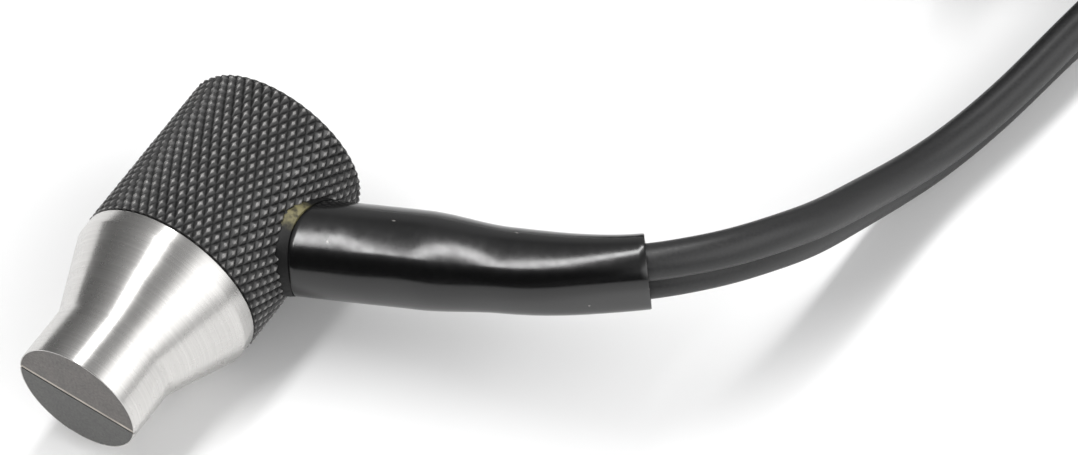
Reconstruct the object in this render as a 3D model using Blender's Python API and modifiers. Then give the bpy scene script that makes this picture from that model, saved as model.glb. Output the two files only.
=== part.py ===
"""Twin-element ultrasonic thickness-gauge probe with its potted twin lead and two push-pull plugs.

The probe lies on its knurled side on the plane z = 0.  Its axis runs along Y: the contact face looks
towards -Y and the closed end of the knurled cap towards +Y.  The lead leaves the cap's side towards +X.
Lengths are in metres.  Places along the probe's axis are counted from the joint between nose and cap.
"""

import math

import bmesh
import bpy
import numpy as np
from mathutils import Matrix, Vector

MM = 0.001

# --- fits -----------------------------------------------------------------------------------------
GAP = 0.3 * MM  # between pieces that stand face to face
CAST_GAP = 0.1 * MM  # round pieces that are cast or pressed into each other
SLIDE_GAP = 0.2 * MM  # round pieces that screw or slide into each other

# --- place of the probe in the frame --------------------------------------------------------------
HEAD_X = -11.865 * MM
JOINT_Y = -2.755 * MM
EXIT_ROLL = math.radians(5.0)  # how far the lead's exit looks up from the horizontal
EXIT_YAW = math.radians(20.0)  # how far it leans towards the cap's closed end

# --- knurled cap ----------------------------------------------------------------------------------
BODY_RADIUS = 7.15 * MM  # over the knurl's crests
CAP_LENGTH = 13.93 * MM
CAP_WALL = 0.85 * MM
CAP_END_WALL = 1.4 * MM
CAP_EDGE = 0.35 * MM  # rounding of the closed end's edge
CAP_MOUTH_GAP = 0.1 * MM

# --- nose -----------------------------------------------------------------------------------------
BAND_STEP = 0.09 * MM  # how far the band lies below the knurl's crests
BAND_RADIUS = BODY_RADIUS - BAND_STEP
BAND_LENGTH = 1.15 * MM
CONE_LENGTH = 5.7 * MM
NOSE_LENGTH = 4.6 * MM
NOSE_RADIUS = 4.74 * MM
NOSE_RIM = 0.22 * MM  # width of the steel round the contact face
NOSE_CHAMFER = 0.12 * MM
FACE = -(BAND_LENGTH + CONE_LENGTH + NOSE_LENGTH)
SPIGOT_RADIUS = BODY_RADIUS - CAP_WALL - SLIDE_GAP
SPIGOT_LENGTH = 2.4 * MM
SPIGOT_WALL = 1.1 * MM
SPIGOT_BORE = SPIGOT_RADIUS - SPIGOT_WALL
SEAL_SECTION = 0.28 * MM  # radius of the joint seal's round section
SEAL_PLACE = 1.1 * MM
SEAL_SUNK = 1.1  # depth of the seal's middle below the spigot, in radii of its section
GROOVE_DEPTH = 2.2  # in radii of the seal's section, and half its width below
GROOVE_HALF = 1.4

# --- transducer stack -----------------------------------------------------------------------------
STACK_ROLL = math.radians(6.5)  # how far the two channels are turned about the probe's axis
DELAY_RADIUS = NOSE_RADIUS - NOSE_RIM - CAST_GAP
DELAY_LENGTH = 7.8 * MM
BARRIER_THICKNESS = 0.2 * MM
BARRIER_BEHIND = 1.2 * MM  # how far the barrier runs past the joint
ROOF_SLOPE = math.tan(math.radians(6.0))
CRYSTAL_RADIUS = 3.175 * MM
CRYSTAL_THICKNESS = 0.4 * MM
WIRE_RADIUS = 0.12 * MM
SHIELD_WALL = 0.3 * MM
SHIELD_BORE = SPIGOT_BORE - CAST_GAP - SHIELD_WALL
BACKING_STEP = 0.4 * MM
BACKING_RADIUS = DELAY_RADIUS - BACKING_STEP
BACKING_END = 1.0 * MM
BOARD_THICKNESS = 0.6 * MM
BOARD = BARRIER_BEHIND + GAP
CORE_WIRE_RADIUS = 0.24 * MM
CORE_WIRE_LIFT = 0.8 * MM  # straight length that stands up from the board
CORE_WIRE_SLACK = (-1.0 * MM, 0.6 * MM, 0.0)  # how far a wire's middle bows out of line
CORE_WIRES = {  # place on the lead's end, then place on the board across and up, in mm
    "signal_wire_transmit": (1.5, -2.2, 2.0),
    "signal_wire_receive": (-1.5, -2.2, -2.0),
    "ground_wire": (0.0, -2.6, 0.0),
}

# --- twin lead: two round cores side by side, standing on edge ------------------------------------
CORE_RADIUS = 1.33 * MM
CORE_WEB = 0.16 * MM  # how far the two cores merge
CORE_SPACING = 2 * CORE_RADIUS - CORE_WEB
LEAD_WIDTH = CORE_SPACING + 2 * CORE_RADIUS
LEAD_RADIUS = LEAD_WIDTH / 2
PATH_STEP = 0.2 * MM  # spacing of the points that the lead's line is worked out at
ROOT_STEP = 1.5 * MM
TUBE_STEP = 3.0 * MM
ROOT_SIDES = 20

# --- exit: distances are counted from the probe's axis, along the exit's own axis -----------------
EXIT_PLACE = 4.7 * MM
FERRULE_WALL = 0.31 * MM
FERRULE_BORE = LEAD_RADIUS + 0.08 * MM
FERRULE_RADIUS = FERRULE_BORE + FERRULE_WALL
FERRULE_STANDS = 3.4 * MM  # out of the cap's surface
FERRULE_TIP = BODY_RADIUS + FERRULE_STANDS
CRIMP_LENGTH = 1.3 * MM
CRIMP_WALL = 0.45 * MM
LEAD_START = 3.3 * MM
SLEEVE_STANDS = 1.9 * MM  # from the cap's surface to the sleeve's rim
SLEEVE_WALL = 0.43 * MM
SLEEVE_STEP = 1.3 * MM
SLEEVE_LOOSE_MIDDLE = 1.15 * MM  # free space beside the lead, halfway and at the open end
SLEEVE_LOOSE_END = 0.45 * MM
NECK_STARTS = 0.3  # the sleeve is round up to this share of its length, and a slot from the next on
NECK_ENDS = 0.6
LEAD_SHOWS = 0.9 * MM  # of the lead's potted length, past the sleeve's open end
BEAD_SPREAD = 0.45 * MM
BEAD_TOP = 0.5  # the bead's width under the sleeve's rim and at its foot, in spreads
BEAD_BOTTOM = 1.2
BEAD_FOOT = 0.8  # its foot's place, in body radii

# Places that the sleeve and the lead pass, in mm: x from the probe's axis, y from the joint, z up.
# They were chosen for an exit at DRAWN_EXIT, and those before the lead lies down follow the exit.
DRAWN_EXIT = (6.693, 7.136, 7.773)
FOLLOWING = 12
SLEEVE_ROUTE = [
    (11.51, 8.79, 8.3),
    (14.88, 9.99, 8.75),
    (20.11, 11.55, 9.6),
    (24.18, 13.02, 10.3),
    (26.7, 14.18, 10.75),
    (29.32, 15.74, 11.1),
]
LEAD_ROUTE = [
    (31.73, 17.81, 11.2),
    (33.53, 19.93, 10.95),
    (35.2, 22.9, 10.1),
    (36.5, 26.6, 8.45),
    (37.4, 31.0, 6.4),
    (38.3, 35.7, 4.4),
    (39.3, 40.2, 3.1),
    (40.3, 44.4, 2.7),
    (41.2, 48.8, 2.62),
    (42.0, 53.6, 2.62),
    (43.0, 59.0, 2.65),
    (44.0, 64.0, 2.8),
    (44.7, 67.6, 2.95),
]
FAR_ROUTE = [
    (35.6, 117.2, 8.3),
    (29.5, 121.6, 7.2),
    (20.4, 124.9, 5.5),
    (10.8, 126.0, 4.2),
    (4.5, 125.6, 3.65),
    (-1.0, 124.6, 3.5),
    (-6.0, 123.2, 3.5),
    (-10.0, 121.9, 3.5),
]
TAIL_ROUTES = {
    "transmit": [
        (-15.6, 120.3, 4.8),
        (-20.3, 119.1, 3.7),
        (-28.2, 114.0, 1.8),
        (-35.2, 105.0, 1.45),
        (-40.2, 96.0, 1.9),
        (-42.6, 90.0, 2.8),
    ],
    "receive": [
        (-15.5, 119.8, 1.95),
        (-19.2, 117.2, 1.5),
        (-25.2, 111.0, 1.45),
        (-30.6, 103.6, 1.45),
        (-33.5, 94.6, 1.55),
        (-34.6, 86.0, 2.2),
    ],
}

# --- coil and its ties ----------------------------------------------------------------------------
COIL_X = 14.0 * MM
COIL_Y = 88.0 * MM
COIL_OUTER = 33.6 * MM
COIL_INNER = COIL_OUTER - 4.4 * 2 * CORE_RADIUS
COIL_HEIGHT = 2 * LEAD_WIDTH + 0.18 * MM
COIL_EDGE = 1.2 * MM
TIE_THICKNESS = 0.6 * MM
TIE_WIDTH = 4.0 * MM
TIE_ANGLES = {"coil_tie_near": 300.0, "coil_tie_far": 120.0}

# --- split sleeve and tails -----------------------------------------------------------------------
SPLIT_WALL = 0.35 * MM
SPLIT_LENGTH = 12.0 * MM
SPLIT_OVER_LEAD = 0.6  # share of the sleeve that covers the lead, before the tails
FAR_STEP = 6.0 * MM
TAIL_STRAIGHT = 6.0  # straight run of a tail's end inside its boot, in mm

# --- plugs: a plug's axis runs from the boot's rear end to the barrel's front ---------------------
PLUG_PLACES = {"transmit": (-43.2, 84.0), "receive": (-34.9, 79.0)}  # rear ends: x, y in mm
BOOT_LENGTH = 11.0 * MM
BOOT_WALL = 0.55 * MM
BOOT_FLARE = 0.35 * MM
BOOT_FLARE_PLACE = 0.8  # share of the boot's length where its flare ends
BOOT_BORE = CORE_RADIUS + 2 * CAST_GAP
RELEASE_RADIUS = 3.2 * MM
RELEASE_LENGTH = 8.6 * MM
RELEASE_WALL = 0.6 * MM
RELEASE_TRAVEL = 1.0 * MM
RELEASE_EDGE = 0.25 * MM
PLUG_AXIS_HEIGHT = RELEASE_RADIUS + 0.05 * MM
NUT_LENGTH = 3.4 * MM
NUT_RADIUS = RELEASE_RADIUS - GAP
NUT_EDGE = 0.4 * MM
NUT = BOOT_LENGTH + GAP
PLUG_BARREL_RADIUS = RELEASE_RADIUS - RELEASE_WALL - SLIDE_GAP
PLUG_BARREL_WALL = 0.45 * MM
PLUG_BARREL_BORE = PLUG_BARREL_RADIUS - PLUG_BARREL_WALL
PLUG_FRONT = 4.6 * MM  # how far the barrel stands out of the release sleeve
RELEASE = NUT + NUT_LENGTH + GAP + RELEASE_TRAVEL
BARREL_END = RELEASE + RELEASE_LENGTH + PLUG_FRONT
LATCH_WALL = 0.4 * MM
LATCH_LENGTH = 1.6 * MM
LATCH_TAPER = 0.6  # share of the latch ring's length that isn't tapered
INSULATOR_BEHIND = 3.0 * MM  # from the release sleeve's rear to the insulator's
INSULATOR_RECESS = 2.4 * MM
CONTACT_RADIUS = 0.35 * MM
CONTACT_RECESS = 0.7 * MM
CONTACT_POINT = 0.4 * MM

# --- sides of round pieces ------------------------------------------------------------------------
BODY_SIDES = 64
SMALL_SIDES = 32
SLEEVE_SIDES = 24
COIL_SIDES = 48
SHARP_EDGE = math.radians(35.0)


def clear_scene():
    for thing in list(bpy.data.objects):
        bpy.data.objects.remove(thing, do_unlink=True)


def new_collection(name):
    group = bpy.data.collections.new(name)
    bpy.context.scene.collection.children.link(group)
    return group


def finish(name, color, roughness, metallic=0.0):
    material = bpy.data.materials.new(name)
    material.use_nodes = True
    shader = material.node_tree.nodes["Principled BSDF"]
    shader.inputs["Base Color"].default_value = (*color, 1.0)
    shader.inputs["Roughness"].default_value = roughness
    shader.inputs["Metallic"].default_value = metallic
    return material


def place(thing, group, frame=None, material=None):
    """Links an object to a collection, under a parent empty where one is given."""
    group.objects.link(thing)
    if frame is not None:
        thing.parent = frame
    if material is not None:
        thing.data.materials.append(material)
    return thing


def empty(name, location, rotation, group, parent=None):
    frame = bpy.data.objects.new(name, None)
    frame.location = location
    frame.rotation_euler = rotation
    frame.parent = parent
    group.objects.link(frame)
    return frame


def smooth_shade(mesh):
    mesh.shade_smooth()
    mesh.set_sharp_from_angle(angle=SHARP_EDGE)


def turned(name, outline, group, frame, material=None, sides=SMALL_SIDES):
    """A turned piece about its frame's Z axis.

    The outline is a list of (radius, height) that runs down the outer side and back up the inner side.
    It closes on itself unless it starts and ends on the axis.
    """
    mesh = bpy.data.meshes.new(name)
    points = [(radius, 0.0, height) for radius, height in outline]
    links = [(i, i + 1) for i in range(len(points) - 1)]
    if outline[0][0] > 0.0:
        links.append((len(points) - 1, 0))
    mesh.from_pydata(points, links, [])
    thing = place(bpy.data.objects.new(name, mesh), group, frame, material)
    screw = thing.modifiers.new("turn", "SCREW")
    screw.axis = "Z"
    screw.angle = 2.0 * math.pi
    screw.steps = sides
    screw.render_steps = sides
    screw.use_merge_vertices = True
    screw.merge_threshold = 0.000001
    screw.use_smooth_shade = True
    return thing


def tube_outline(outer, inner, low, high):
    return [(outer, high), (outer, low), (inner, low), (inner, high)]


def arc(centre, radius, start, end, steps):
    """Points of an arc in the (radius, height) plane, angles in degrees."""
    angles = np.radians(np.linspace(start, end, steps + 1))
    return [(centre[0] + radius * math.cos(a), centre[1] + radius * math.sin(a)) for a in angles]


def cut(piece, cutter):
    """Takes the cutter's shape out of the piece."""
    cutter.hide_render = True
    cutter.display_type = "WIRE"
    boolean = piece.modifiers.new("cut_" + cutter.name, "BOOLEAN")
    boolean.operation = "DIFFERENCE"
    boolean.solver = "EXACT"
    boolean.object = cutter


def smooth_route(points, spacing):
    """Points at an even spacing on the natural cubic spline through the given points."""
    points = np.array(points, float)
    steps = np.linalg.norm(np.diff(points, axis=0), axis=1)
    knots = np.concatenate([[0.0], np.cumsum(steps)])
    count = len(points)
    system = np.eye(count)
    right = np.zeros((count, 3))
    for i in range(1, count - 1):
        system[i, i - 1 : i + 2] = steps[i - 1], 2.0 * (steps[i - 1] + steps[i]), steps[i]
        right[i] = 6.0 * (
            (points[i + 1] - points[i]) / steps[i] - (points[i] - points[i - 1]) / steps[i - 1]
        )
    bend = np.linalg.solve(system, right)
    places = np.linspace(0.0, knots[-1], max(2, round(knots[-1] / spacing) + 1))
    part = np.clip(np.searchsorted(knots, places, side="right") - 1, 0, count - 2)
    step = steps[part][:, None]
    after = (places - knots[part])[:, None]
    before = step - after
    return (
        (bend[part] * before**3 + bend[part + 1] * after**3) / (6.0 * step)
        + (points[part] / step - bend[part] * step / 6.0) * before
        + (points[part + 1] / step - bend[part + 1] * step / 6.0) * after
    )


def line_length(line):
    return np.linalg.norm(np.diff(line, axis=0), axis=1).sum()


def stretch(line, start, end, spacing):
    """The part of a line between two lengths along it, with points about a spacing apart."""
    lengths = np.concatenate([[0.0], np.cumsum(np.linalg.norm(np.diff(line, axis=0), axis=1))])
    places = np.linspace(start, min(end, lengths[-1]), max(2, round((end - start) / spacing) + 1))
    return np.stack([np.interp(places, lengths, line[:, i]) for i in range(3)], 1)


def in_frame(route):
    """Turns a route's places, in mm from the probe's foot, into frame coordinates."""
    return [(HEAD_X + x * MM, JOINT_Y + y * MM, z * MM) for x, y, z in route]


def tube(name, points, radius, group, material, frame=None, resolution=2):
    """A round rod along the points, with closed ends."""
    curve = bpy.data.curves.new(name, "CURVE")
    curve.dimensions = "3D"
    curve.bevel_depth = radius
    curve.bevel_resolution = resolution
    curve.use_fill_caps = True
    curve.render_resolution_u = 0
    spline = curve.splines.new("POLY")
    spline.points.add(len(points) - 1)
    for point, (x, y, z) in zip(spline.points, points):
        point.co = (x, y, z, 1.0)
    return place(bpy.data.objects.new(name, curve), group, frame, material)


def upright_sections(line):
    """At each point of a line: its direction, and the two axes of a section that stands upright."""
    line = np.array(line)
    along = np.gradient(line, axis=0)
    along /= np.linalg.norm(along, axis=1)[:, None]
    tall = np.array([0.0, 0.0, 1.0]) - along[:, 2:] * along
    tall /= np.linalg.norm(tall, axis=1)[:, None]
    return along, tall, np.cross(tall, along)


def stadium(half_tall, half_thick, count):
    """Points round an upright slot with round ends, as (across, up) pairs."""
    angles = np.linspace(0.0, 2.0 * math.pi, count, endpoint=False) + math.pi / count
    straight = (half_tall - half_thick) * np.sign(np.sin(angles))
    return np.stack([half_thick * np.cos(angles), half_thick * np.sin(angles) + straight], 1)


def lofted(name, line, halves, sides, capped, group, material):
    """A skin through upright slot sections along a line; halves gives each section's half sizes."""
    _, tall, across = upright_sections(line)
    work = bmesh.new()
    rings = []
    for centre, up, side, (half_tall, half_thick) in zip(line, tall, across, halves):
        section = stadium(half_tall, half_thick, sides)
        rings.append([work.verts.new(Vector(centre + a * side + u * up)) for a, u in section])
    for low, high in zip(rings, rings[1:]):
        for i in range(sides):
            j = (i + 1) % sides
            work.faces.new((low[i], high[i], high[j], low[j]))
    if capped:
        work.faces.new(rings[0])
        work.faces.new(rings[-1][::-1])
    bmesh.ops.recalc_face_normals(work, faces=work.faces)
    mesh = bpy.data.meshes.new(name)
    work.to_mesh(mesh)
    work.free()
    mesh.shade_smooth()
    return place(bpy.data.objects.new(name, mesh), group, None, material)


def walled(skin, thickness):
    """Gives a skin its wall, inwards."""
    wall = skin.modifiers.new("wall", "SOLIDIFY")
    wall.thickness = thickness
    wall.offset = -1.0
    wall.use_even_offset = True


def half_round(name, radius, flat, front, back, slopes, side, group, frame, material):
    """A half-cylinder along its frame's Z axis, on one side of the plane between the two channels.

    flat is the distance of its flat side from that plane, front and back are the heights of its ends
    at the plane, and slopes says how much each end falls per metre away from it.  side is -1 or 1.
    """
    work = bmesh.new()
    bmesh.ops.create_circle(work, cap_ends=True, radius=radius, segments=BODY_SIDES)
    everything = work.verts[:] + work.edges[:] + work.faces[:]
    bmesh.ops.bisect_plane(
        work, geom=everything, plane_co=(0, side * flat, 0), plane_no=(0, -side, 0), clear_outer=True
    )
    top = bmesh.ops.extrude_face_region(work, geom=work.faces[:])["geom"]
    top = [v for v in top if isinstance(v, bmesh.types.BMVert)]
    for vert in work.verts:
        end = 1 if vert in top else 0
        vert.co.z = (front, back)[end] - slopes[end] * abs(vert.co.y)
    bmesh.ops.recalc_face_normals(work, faces=work.faces)
    mesh = bpy.data.meshes.new(name)
    work.to_mesh(mesh)
    work.free()
    smooth_shade(mesh)
    return place(bpy.data.objects.new(name, mesh), group, frame, material)


def block(name, size, centre, group, frame=None, material=None):
    """A plain box of the given size, at its place in its frame."""
    work = bmesh.new()
    bmesh.ops.create_cube(work, size=1.0, matrix=Matrix.Diagonal((*size, 1.0)))
    bmesh.ops.translate(work, verts=work.verts, vec=centre)
    mesh = bpy.data.meshes.new(name)
    work.to_mesh(mesh)
    work.free()
    return place(bpy.data.objects.new(name, mesh), group, frame, material)


def nose_outline():
    """The nose housing: face rim, nose, cone, band and the spigot with the seal's groove."""
    shoulder = FACE + DELAY_LENGTH + CAST_GAP
    groove = SPIGOT_RADIUS - GROOVE_DEPTH * SEAL_SECTION
    groove_top = SEAL_PLACE + GROOVE_HALF * SEAL_SECTION
    groove_foot = SEAL_PLACE - GROOVE_HALF * SEAL_SECTION
    return [
        (SPIGOT_RADIUS, SPIGOT_LENGTH),
        (SPIGOT_RADIUS, groove_top),
        (groove, groove_top),
        (groove, groove_foot),
        (SPIGOT_RADIUS, groove_foot),
        (SPIGOT_RADIUS, 0.0),
        (BAND_RADIUS, 0.0),
        (BAND_RADIUS, -BAND_LENGTH),
        (NOSE_RADIUS, -BAND_LENGTH - CONE_LENGTH),
        (NOSE_RADIUS, FACE + NOSE_CHAMFER),
        (NOSE_RADIUS - NOSE_CHAMFER, FACE),
        (DELAY_RADIUS + CAST_GAP, FACE),
        (DELAY_RADIUS + CAST_GAP, shoulder),
        (SPIGOT_BORE, shoulder),
        (SPIGOT_BORE, SPIGOT_LENGTH),
    ]


def build_nose(parts, probe, metal, rubber):
    turned("nose_housing", nose_outline(), parts, probe, metal, BODY_SIDES)
    centre = (SPIGOT_RADIUS - SEAL_SUNK * SEAL_SECTION, SEAL_PLACE)
    ring = arc(centre, SEAL_SECTION, 90.0, -270.0, 8)[:-1]
    turned("joint_seal", ring, parts, probe, rubber)


def build_stack(parts, probe, finishes):
    """The two channels inside the nose, with the barrier between them."""
    stack = empty("stack_axis", (0.0, 0.0, 0.0), (0.0, 0.0, STACK_ROLL), parts, probe)
    roof = FACE + DELAY_LENGTH
    flat = BARRIER_THICKNESS / 2 + CAST_GAP
    crystal = roof + CAST_GAP
    backing = crystal + CRYSTAL_THICKNESS + CAST_GAP
    for side, channel in ((-1, "transmit"), (1, "receive")):
        half_round(
            "delay_line_" + channel, DELAY_RADIUS, flat, FACE, roof, (0.0, ROOF_SLOPE), side,
            parts, stack, finishes["delay"],
        )
        half_round(
            "crystal_" + channel, CRYSTAL_RADIUS, flat, crystal, crystal + CRYSTAL_THICKNESS,
            (ROOF_SLOPE, ROOF_SLOPE), side, parts, stack, finishes["ceramic"],
        )
        half_round(
            "backing_" + channel, BACKING_RADIUS, flat, backing, BACKING_END, (ROOF_SLOPE, 0.0), side,
            parts, stack, finishes["resin"],
        )
        radius = (BACKING_RADIUS + SHIELD_BORE) / 2
        wire = [(0.0, side * radius, h) for h in np.linspace(backing, BOARD - GAP, 5)]
        tube("crystal_wire_" + channel, wire, WIRE_RADIUS, parts, finishes["copper"], stack)
    length = BARRIER_BEHIND - FACE
    width = 2 * (BACKING_RADIUS - CAST_GAP)
    size = (width, BARRIER_THICKNESS, length)
    block("acoustic_barrier", size, (0, 0, FACE + length / 2), parts, stack, finishes["cork"])
    outline = tube_outline(SHIELD_BORE + SHIELD_WALL, SHIELD_BORE, roof + GAP, BOARD - GAP)
    turned("shield_tube", outline, parts, probe, finishes["brass"])
    rim = SPIGOT_BORE - CAST_GAP
    top = BOARD + BOARD_THICKNESS
    outline = [(0.0, top), (rim, top), (rim, BOARD), (0.0, BOARD)]
    turned("terminal_board", outline, parts, probe, finishes["board"])


def build_cap(parts, cutters, probe, outlet, finishes):
    """The knurled cup that closes the probe, with the hole that the lead leaves through."""
    inner = BODY_RADIUS - CAP_WALL
    depth = CAP_LENGTH - CAP_END_WALL
    corner = (BODY_RADIUS - CAP_EDGE, CAP_LENGTH - CAP_EDGE)
    outline = [(0.0, CAP_LENGTH)]
    outline += arc(corner, CAP_EDGE, 90.0, 0.0, 6)
    outline += [(BODY_RADIUS, CAP_MOUTH_GAP), (inner, CAP_MOUTH_GAP), (inner, depth), (0.0, depth)]
    cap = turned("knurled_cap", outline, parts, probe, finishes["black_metal"], BODY_SIDES)
    hole = FERRULE_RADIUS + CAST_GAP
    outline = [(0.0, 2 * BODY_RADIUS), (hole, 2 * BODY_RADIUS), (hole, inner / 2), (0.0, inner / 2)]
    cut(cap, turned("exit_hole", outline, cutters, outlet))
    radius = inner - GAP
    foot = exit_point(BODY_RADIUS - CAP_WALL)[1] - JOINT_Y + FERRULE_RADIUS + GAP
    outline = [(0.0, depth - GAP), (radius, depth - GAP), (radius, foot), (0.0, foot)]
    turned("potting_block", outline, parts, probe, finishes["resin"])


def exit_point(distance):
    """A point on the exit's axis, in frame coordinates."""
    return (
        HEAD_X + distance * math.cos(EXIT_ROLL) * math.cos(EXIT_YAW),
        JOINT_Y + EXIT_PLACE + distance * math.cos(EXIT_ROLL) * math.sin(EXIT_YAW),
        BODY_RADIUS + distance * math.sin(EXIT_ROLL),
    )


def follow_exit(route):
    """Moves a route's first places with the exit, fully at the start and not at all after FOLLOWING."""
    drawn = np.array(in_frame([DRAWN_EXIT])[0])
    shift = np.array(exit_point(BODY_RADIUS)) - drawn
    share = np.clip(1.0 - np.arange(len(route)) / FOLLOWING, 0.0, 1.0)
    return np.array(in_frame(route)) + share[:, None] * shift


def lead_path():
    """The lead's line from its inner end to the coil, and the length along it where the sleeve ends."""
    straight = np.array([exit_point(d) for d in np.linspace(LEAD_START, FERRULE_TIP + GAP, 5)])
    route = follow_exit(SLEEVE_ROUTE + LEAD_ROUTE)
    path = smooth_route(np.concatenate([straight, route]), PATH_STEP)
    nearest = np.linalg.norm(path - route[len(SLEEVE_ROUTE) - 1], axis=1).argmin()
    return path, line_length(path[: nearest + 1])


def build_exit(parts, cutters, probe, outlet, finishes):
    """Ferrule, crimp ring and bead of adhesive round the lead's exit, and the shrunk sleeve."""
    root = BODY_RADIUS - CAP_WALL - GAP
    outline = tube_outline(FERRULE_RADIUS, FERRULE_BORE, root, FERRULE_TIP)
    turned("exit_ferrule", outline, parts, outlet, finishes["metal"])
    collar = FERRULE_BORE + CRIMP_WALL
    crimp = math.sqrt((BODY_RADIUS - CAP_WALL) ** 2 - collar**2) - GAP
    outline = tube_outline(collar, FERRULE_BORE, crimp - CRIMP_LENGTH, crimp)
    turned("crimp_ring", outline, parts, outlet, finishes["metal"])

    rim = BODY_RADIUS + SLEEVE_STANDS
    bore = FERRULE_RADIUS + CAST_GAP
    foot = BODY_RADIUS * BEAD_FOOT
    outline = [(bore + BEAD_SPREAD * BEAD_TOP, rim - CAST_GAP), (bore + BEAD_SPREAD, BODY_RADIUS)]
    outline += [(bore + BEAD_SPREAD * BEAD_BOTTOM, foot), (bore, foot), (bore, rim - CAST_GAP)]
    bead = turned("adhesive_bead", outline, parts, outlet, finishes["glue"])
    seat = BODY_RADIUS + CAST_GAP
    outline = [(0.0, CAP_LENGTH), (seat, CAP_LENGTH), (seat, 0.0), (0.0, 0.0)]
    cut(bead, turned("bead_seat", outline, cutters, probe, None, 2 * BODY_SIDES))

    path, sleeve_end = lead_path()
    line = stretch(path, rim - LEAD_START, sleeve_end, SLEEVE_STEP)
    sleeve = lofted("heat_shrink_sleeve", line, sleeve_halves(len(line)), SLEEVE_SIDES, False,
                    parts, finishes["shrink"])
    walled(sleeve, SLEEVE_WALL)

    line = stretch(path, 0.0, sleeve_end + LEAD_SHOWS, ROOT_STEP)
    halves = [(LEAD_RADIUS - CAST_GAP, CORE_RADIUS - CAST_GAP / 2)] * len(line)
    lofted("twin_lead_root", line, halves, ROOT_SIDES, True, parts, finishes["jacket"])


def sleeve_halves(count):
    """Half sizes of the sleeve's sections: round, then a slot that is loose halfway and closer at the end."""
    share = np.linspace(0.0, 1.0, count)
    neck = np.clip((share - NECK_STARTS) / (NECK_ENDS - NECK_STARTS), 0.0, 1.0)
    shrink = np.clip((share - NECK_ENDS) / (1.0 - NECK_ENDS), 0.0, 1.0)
    neck = neck * neck * (3 - 2 * neck)
    shrink = shrink * shrink * (3 - 2 * shrink)
    root_half = FERRULE_RADIUS + CAST_GAP + SLEEVE_WALL
    end_tall = LEAD_RADIUS + CAST_GAP + SLEEVE_WALL
    end_thick = CORE_RADIUS + SLEEVE_LOOSE_END + SLEEVE_WALL
    middle_thick = CORE_RADIUS + SLEEVE_LOOSE_MIDDLE + SLEEVE_WALL
    half_tall = root_half + (end_tall - root_half) * neck
    half_thick = root_half + (middle_thick - root_half) * neck + (end_thick - middle_thick) * shrink
    return np.stack([half_tall, half_thick], 1)


def build_core_wires(parts, finishes):
    """Signal and ground wires from the terminal board to the lead's inner end."""
    end = np.array(exit_point(LEAD_START - GAP))
    rise = math.sin(EXIT_ROLL)
    up = np.array([-rise * math.cos(EXIT_YAW), -rise * math.sin(EXIT_YAW), math.cos(EXIT_ROLL)])
    axis = np.array([HEAD_X, JOINT_Y, BODY_RADIUS])
    for name, (height, x, z) in CORE_WIRES.items():
        start = axis + np.array([x * MM, BOARD + BOARD_THICKNESS + GAP, z * MM])
        last = end + height * MM * up
        middle = (start + last) / 2 + np.array(CORE_WIRE_SLACK)
        stands = start + np.array([0.0, CORE_WIRE_LIFT, 0.0])
        line = smooth_route([start, stands, middle, last], CORE_WIRE_LIFT)
        tube(name, line, CORE_WIRE_RADIUS, parts, finishes["copper"])


def build_lead(parts, finishes):
    """The lead's free stretches, its coil and the ties, as plain solids."""
    path, sleeve_end = lead_path()
    line = stretch(path, sleeve_end + LEAD_SHOWS + GAP, line_length(path), TUBE_STEP)
    tube("twin_lead", line, LEAD_RADIUS, parts, finishes["jacket"])
    line = smooth_route(in_frame(FAR_ROUTE), FAR_STEP)
    tube("twin_lead_end", line, LEAD_RADIUS, parts, finishes["jacket"])

    centre = (HEAD_X + COIL_X, JOINT_Y + COIL_Y, TIE_THICKNESS + GAP)
    stand = empty("coil_axis", centre, (0, 0, 0), parts)
    outline = []
    for inward, high, start in ((0, 1, 90.0), (0, 0, 0.0), (1, 0, -90.0), (1, 1, -180.0)):
        corner = (
            (COIL_OUTER - COIL_EDGE, COIL_INNER + COIL_EDGE)[inward],
            (COIL_EDGE, COIL_HEIGHT - COIL_EDGE)[high],
        )
        outline += arc(corner, COIL_EDGE, start, start - 90.0, 2)
    turned("twin_lead_coil", outline, parts, stand, finishes["jacket"], COIL_SIDES)
    for name, angle in TIE_ANGLES.items():
        build_tie(name, math.radians(angle), centre, parts, finishes["tie"])


def rounded_box(width, height, radius, steps=4):
    """Points round a box with rounded corners, centred on the origin."""
    points = []
    for quarter, (sx, sy) in enumerate(((1, 1), (-1, 1), (-1, -1), (1, -1))):
        corner = (sx * (width / 2 - radius), sy * (height / 2 - radius))
        points += arc(corner, radius, 90.0 * quarter, 90.0 * quarter + 90.0, steps)
    return points


def build_tie(name, angle, centre, parts, material):
    """A flat strap round the coil's bundle of turns, as a flat ring of the strap's width."""
    curve = bpy.data.curves.new(name, "CURVE")
    curve.dimensions = "2D"
    curve.fill_mode = "BOTH"
    curve.extrude = TIE_WIDTH / 2
    curve.render_resolution_u = 0
    width = COIL_OUTER - COIL_INNER + 2 * GAP
    height = COIL_HEIGHT + 2 * GAP
    for more in (TIE_THICKNESS, 0.0):
        loop = rounded_box(width + 2 * more, height + 2 * more, COIL_EDGE + GAP + more)
        spline = curve.splines.new("POLY")
        spline.points.add(len(loop) - 1)
        spline.use_cyclic_u = True
        for point, (x, y) in zip(spline.points, loop):
            point.co = (x, y, 0.0, 1.0)
    middle = (COIL_OUTER + COIL_INNER) / 2
    tie = place(bpy.data.objects.new(name, curve), parts, None, material)
    tie.location = (
        centre[0] + middle * math.cos(angle),
        centre[1] + middle * math.sin(angle),
        centre[2] + COIL_HEIGHT / 2,
    )
    tie.rotation_euler = (math.pi / 2, 0.0, angle)


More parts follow.
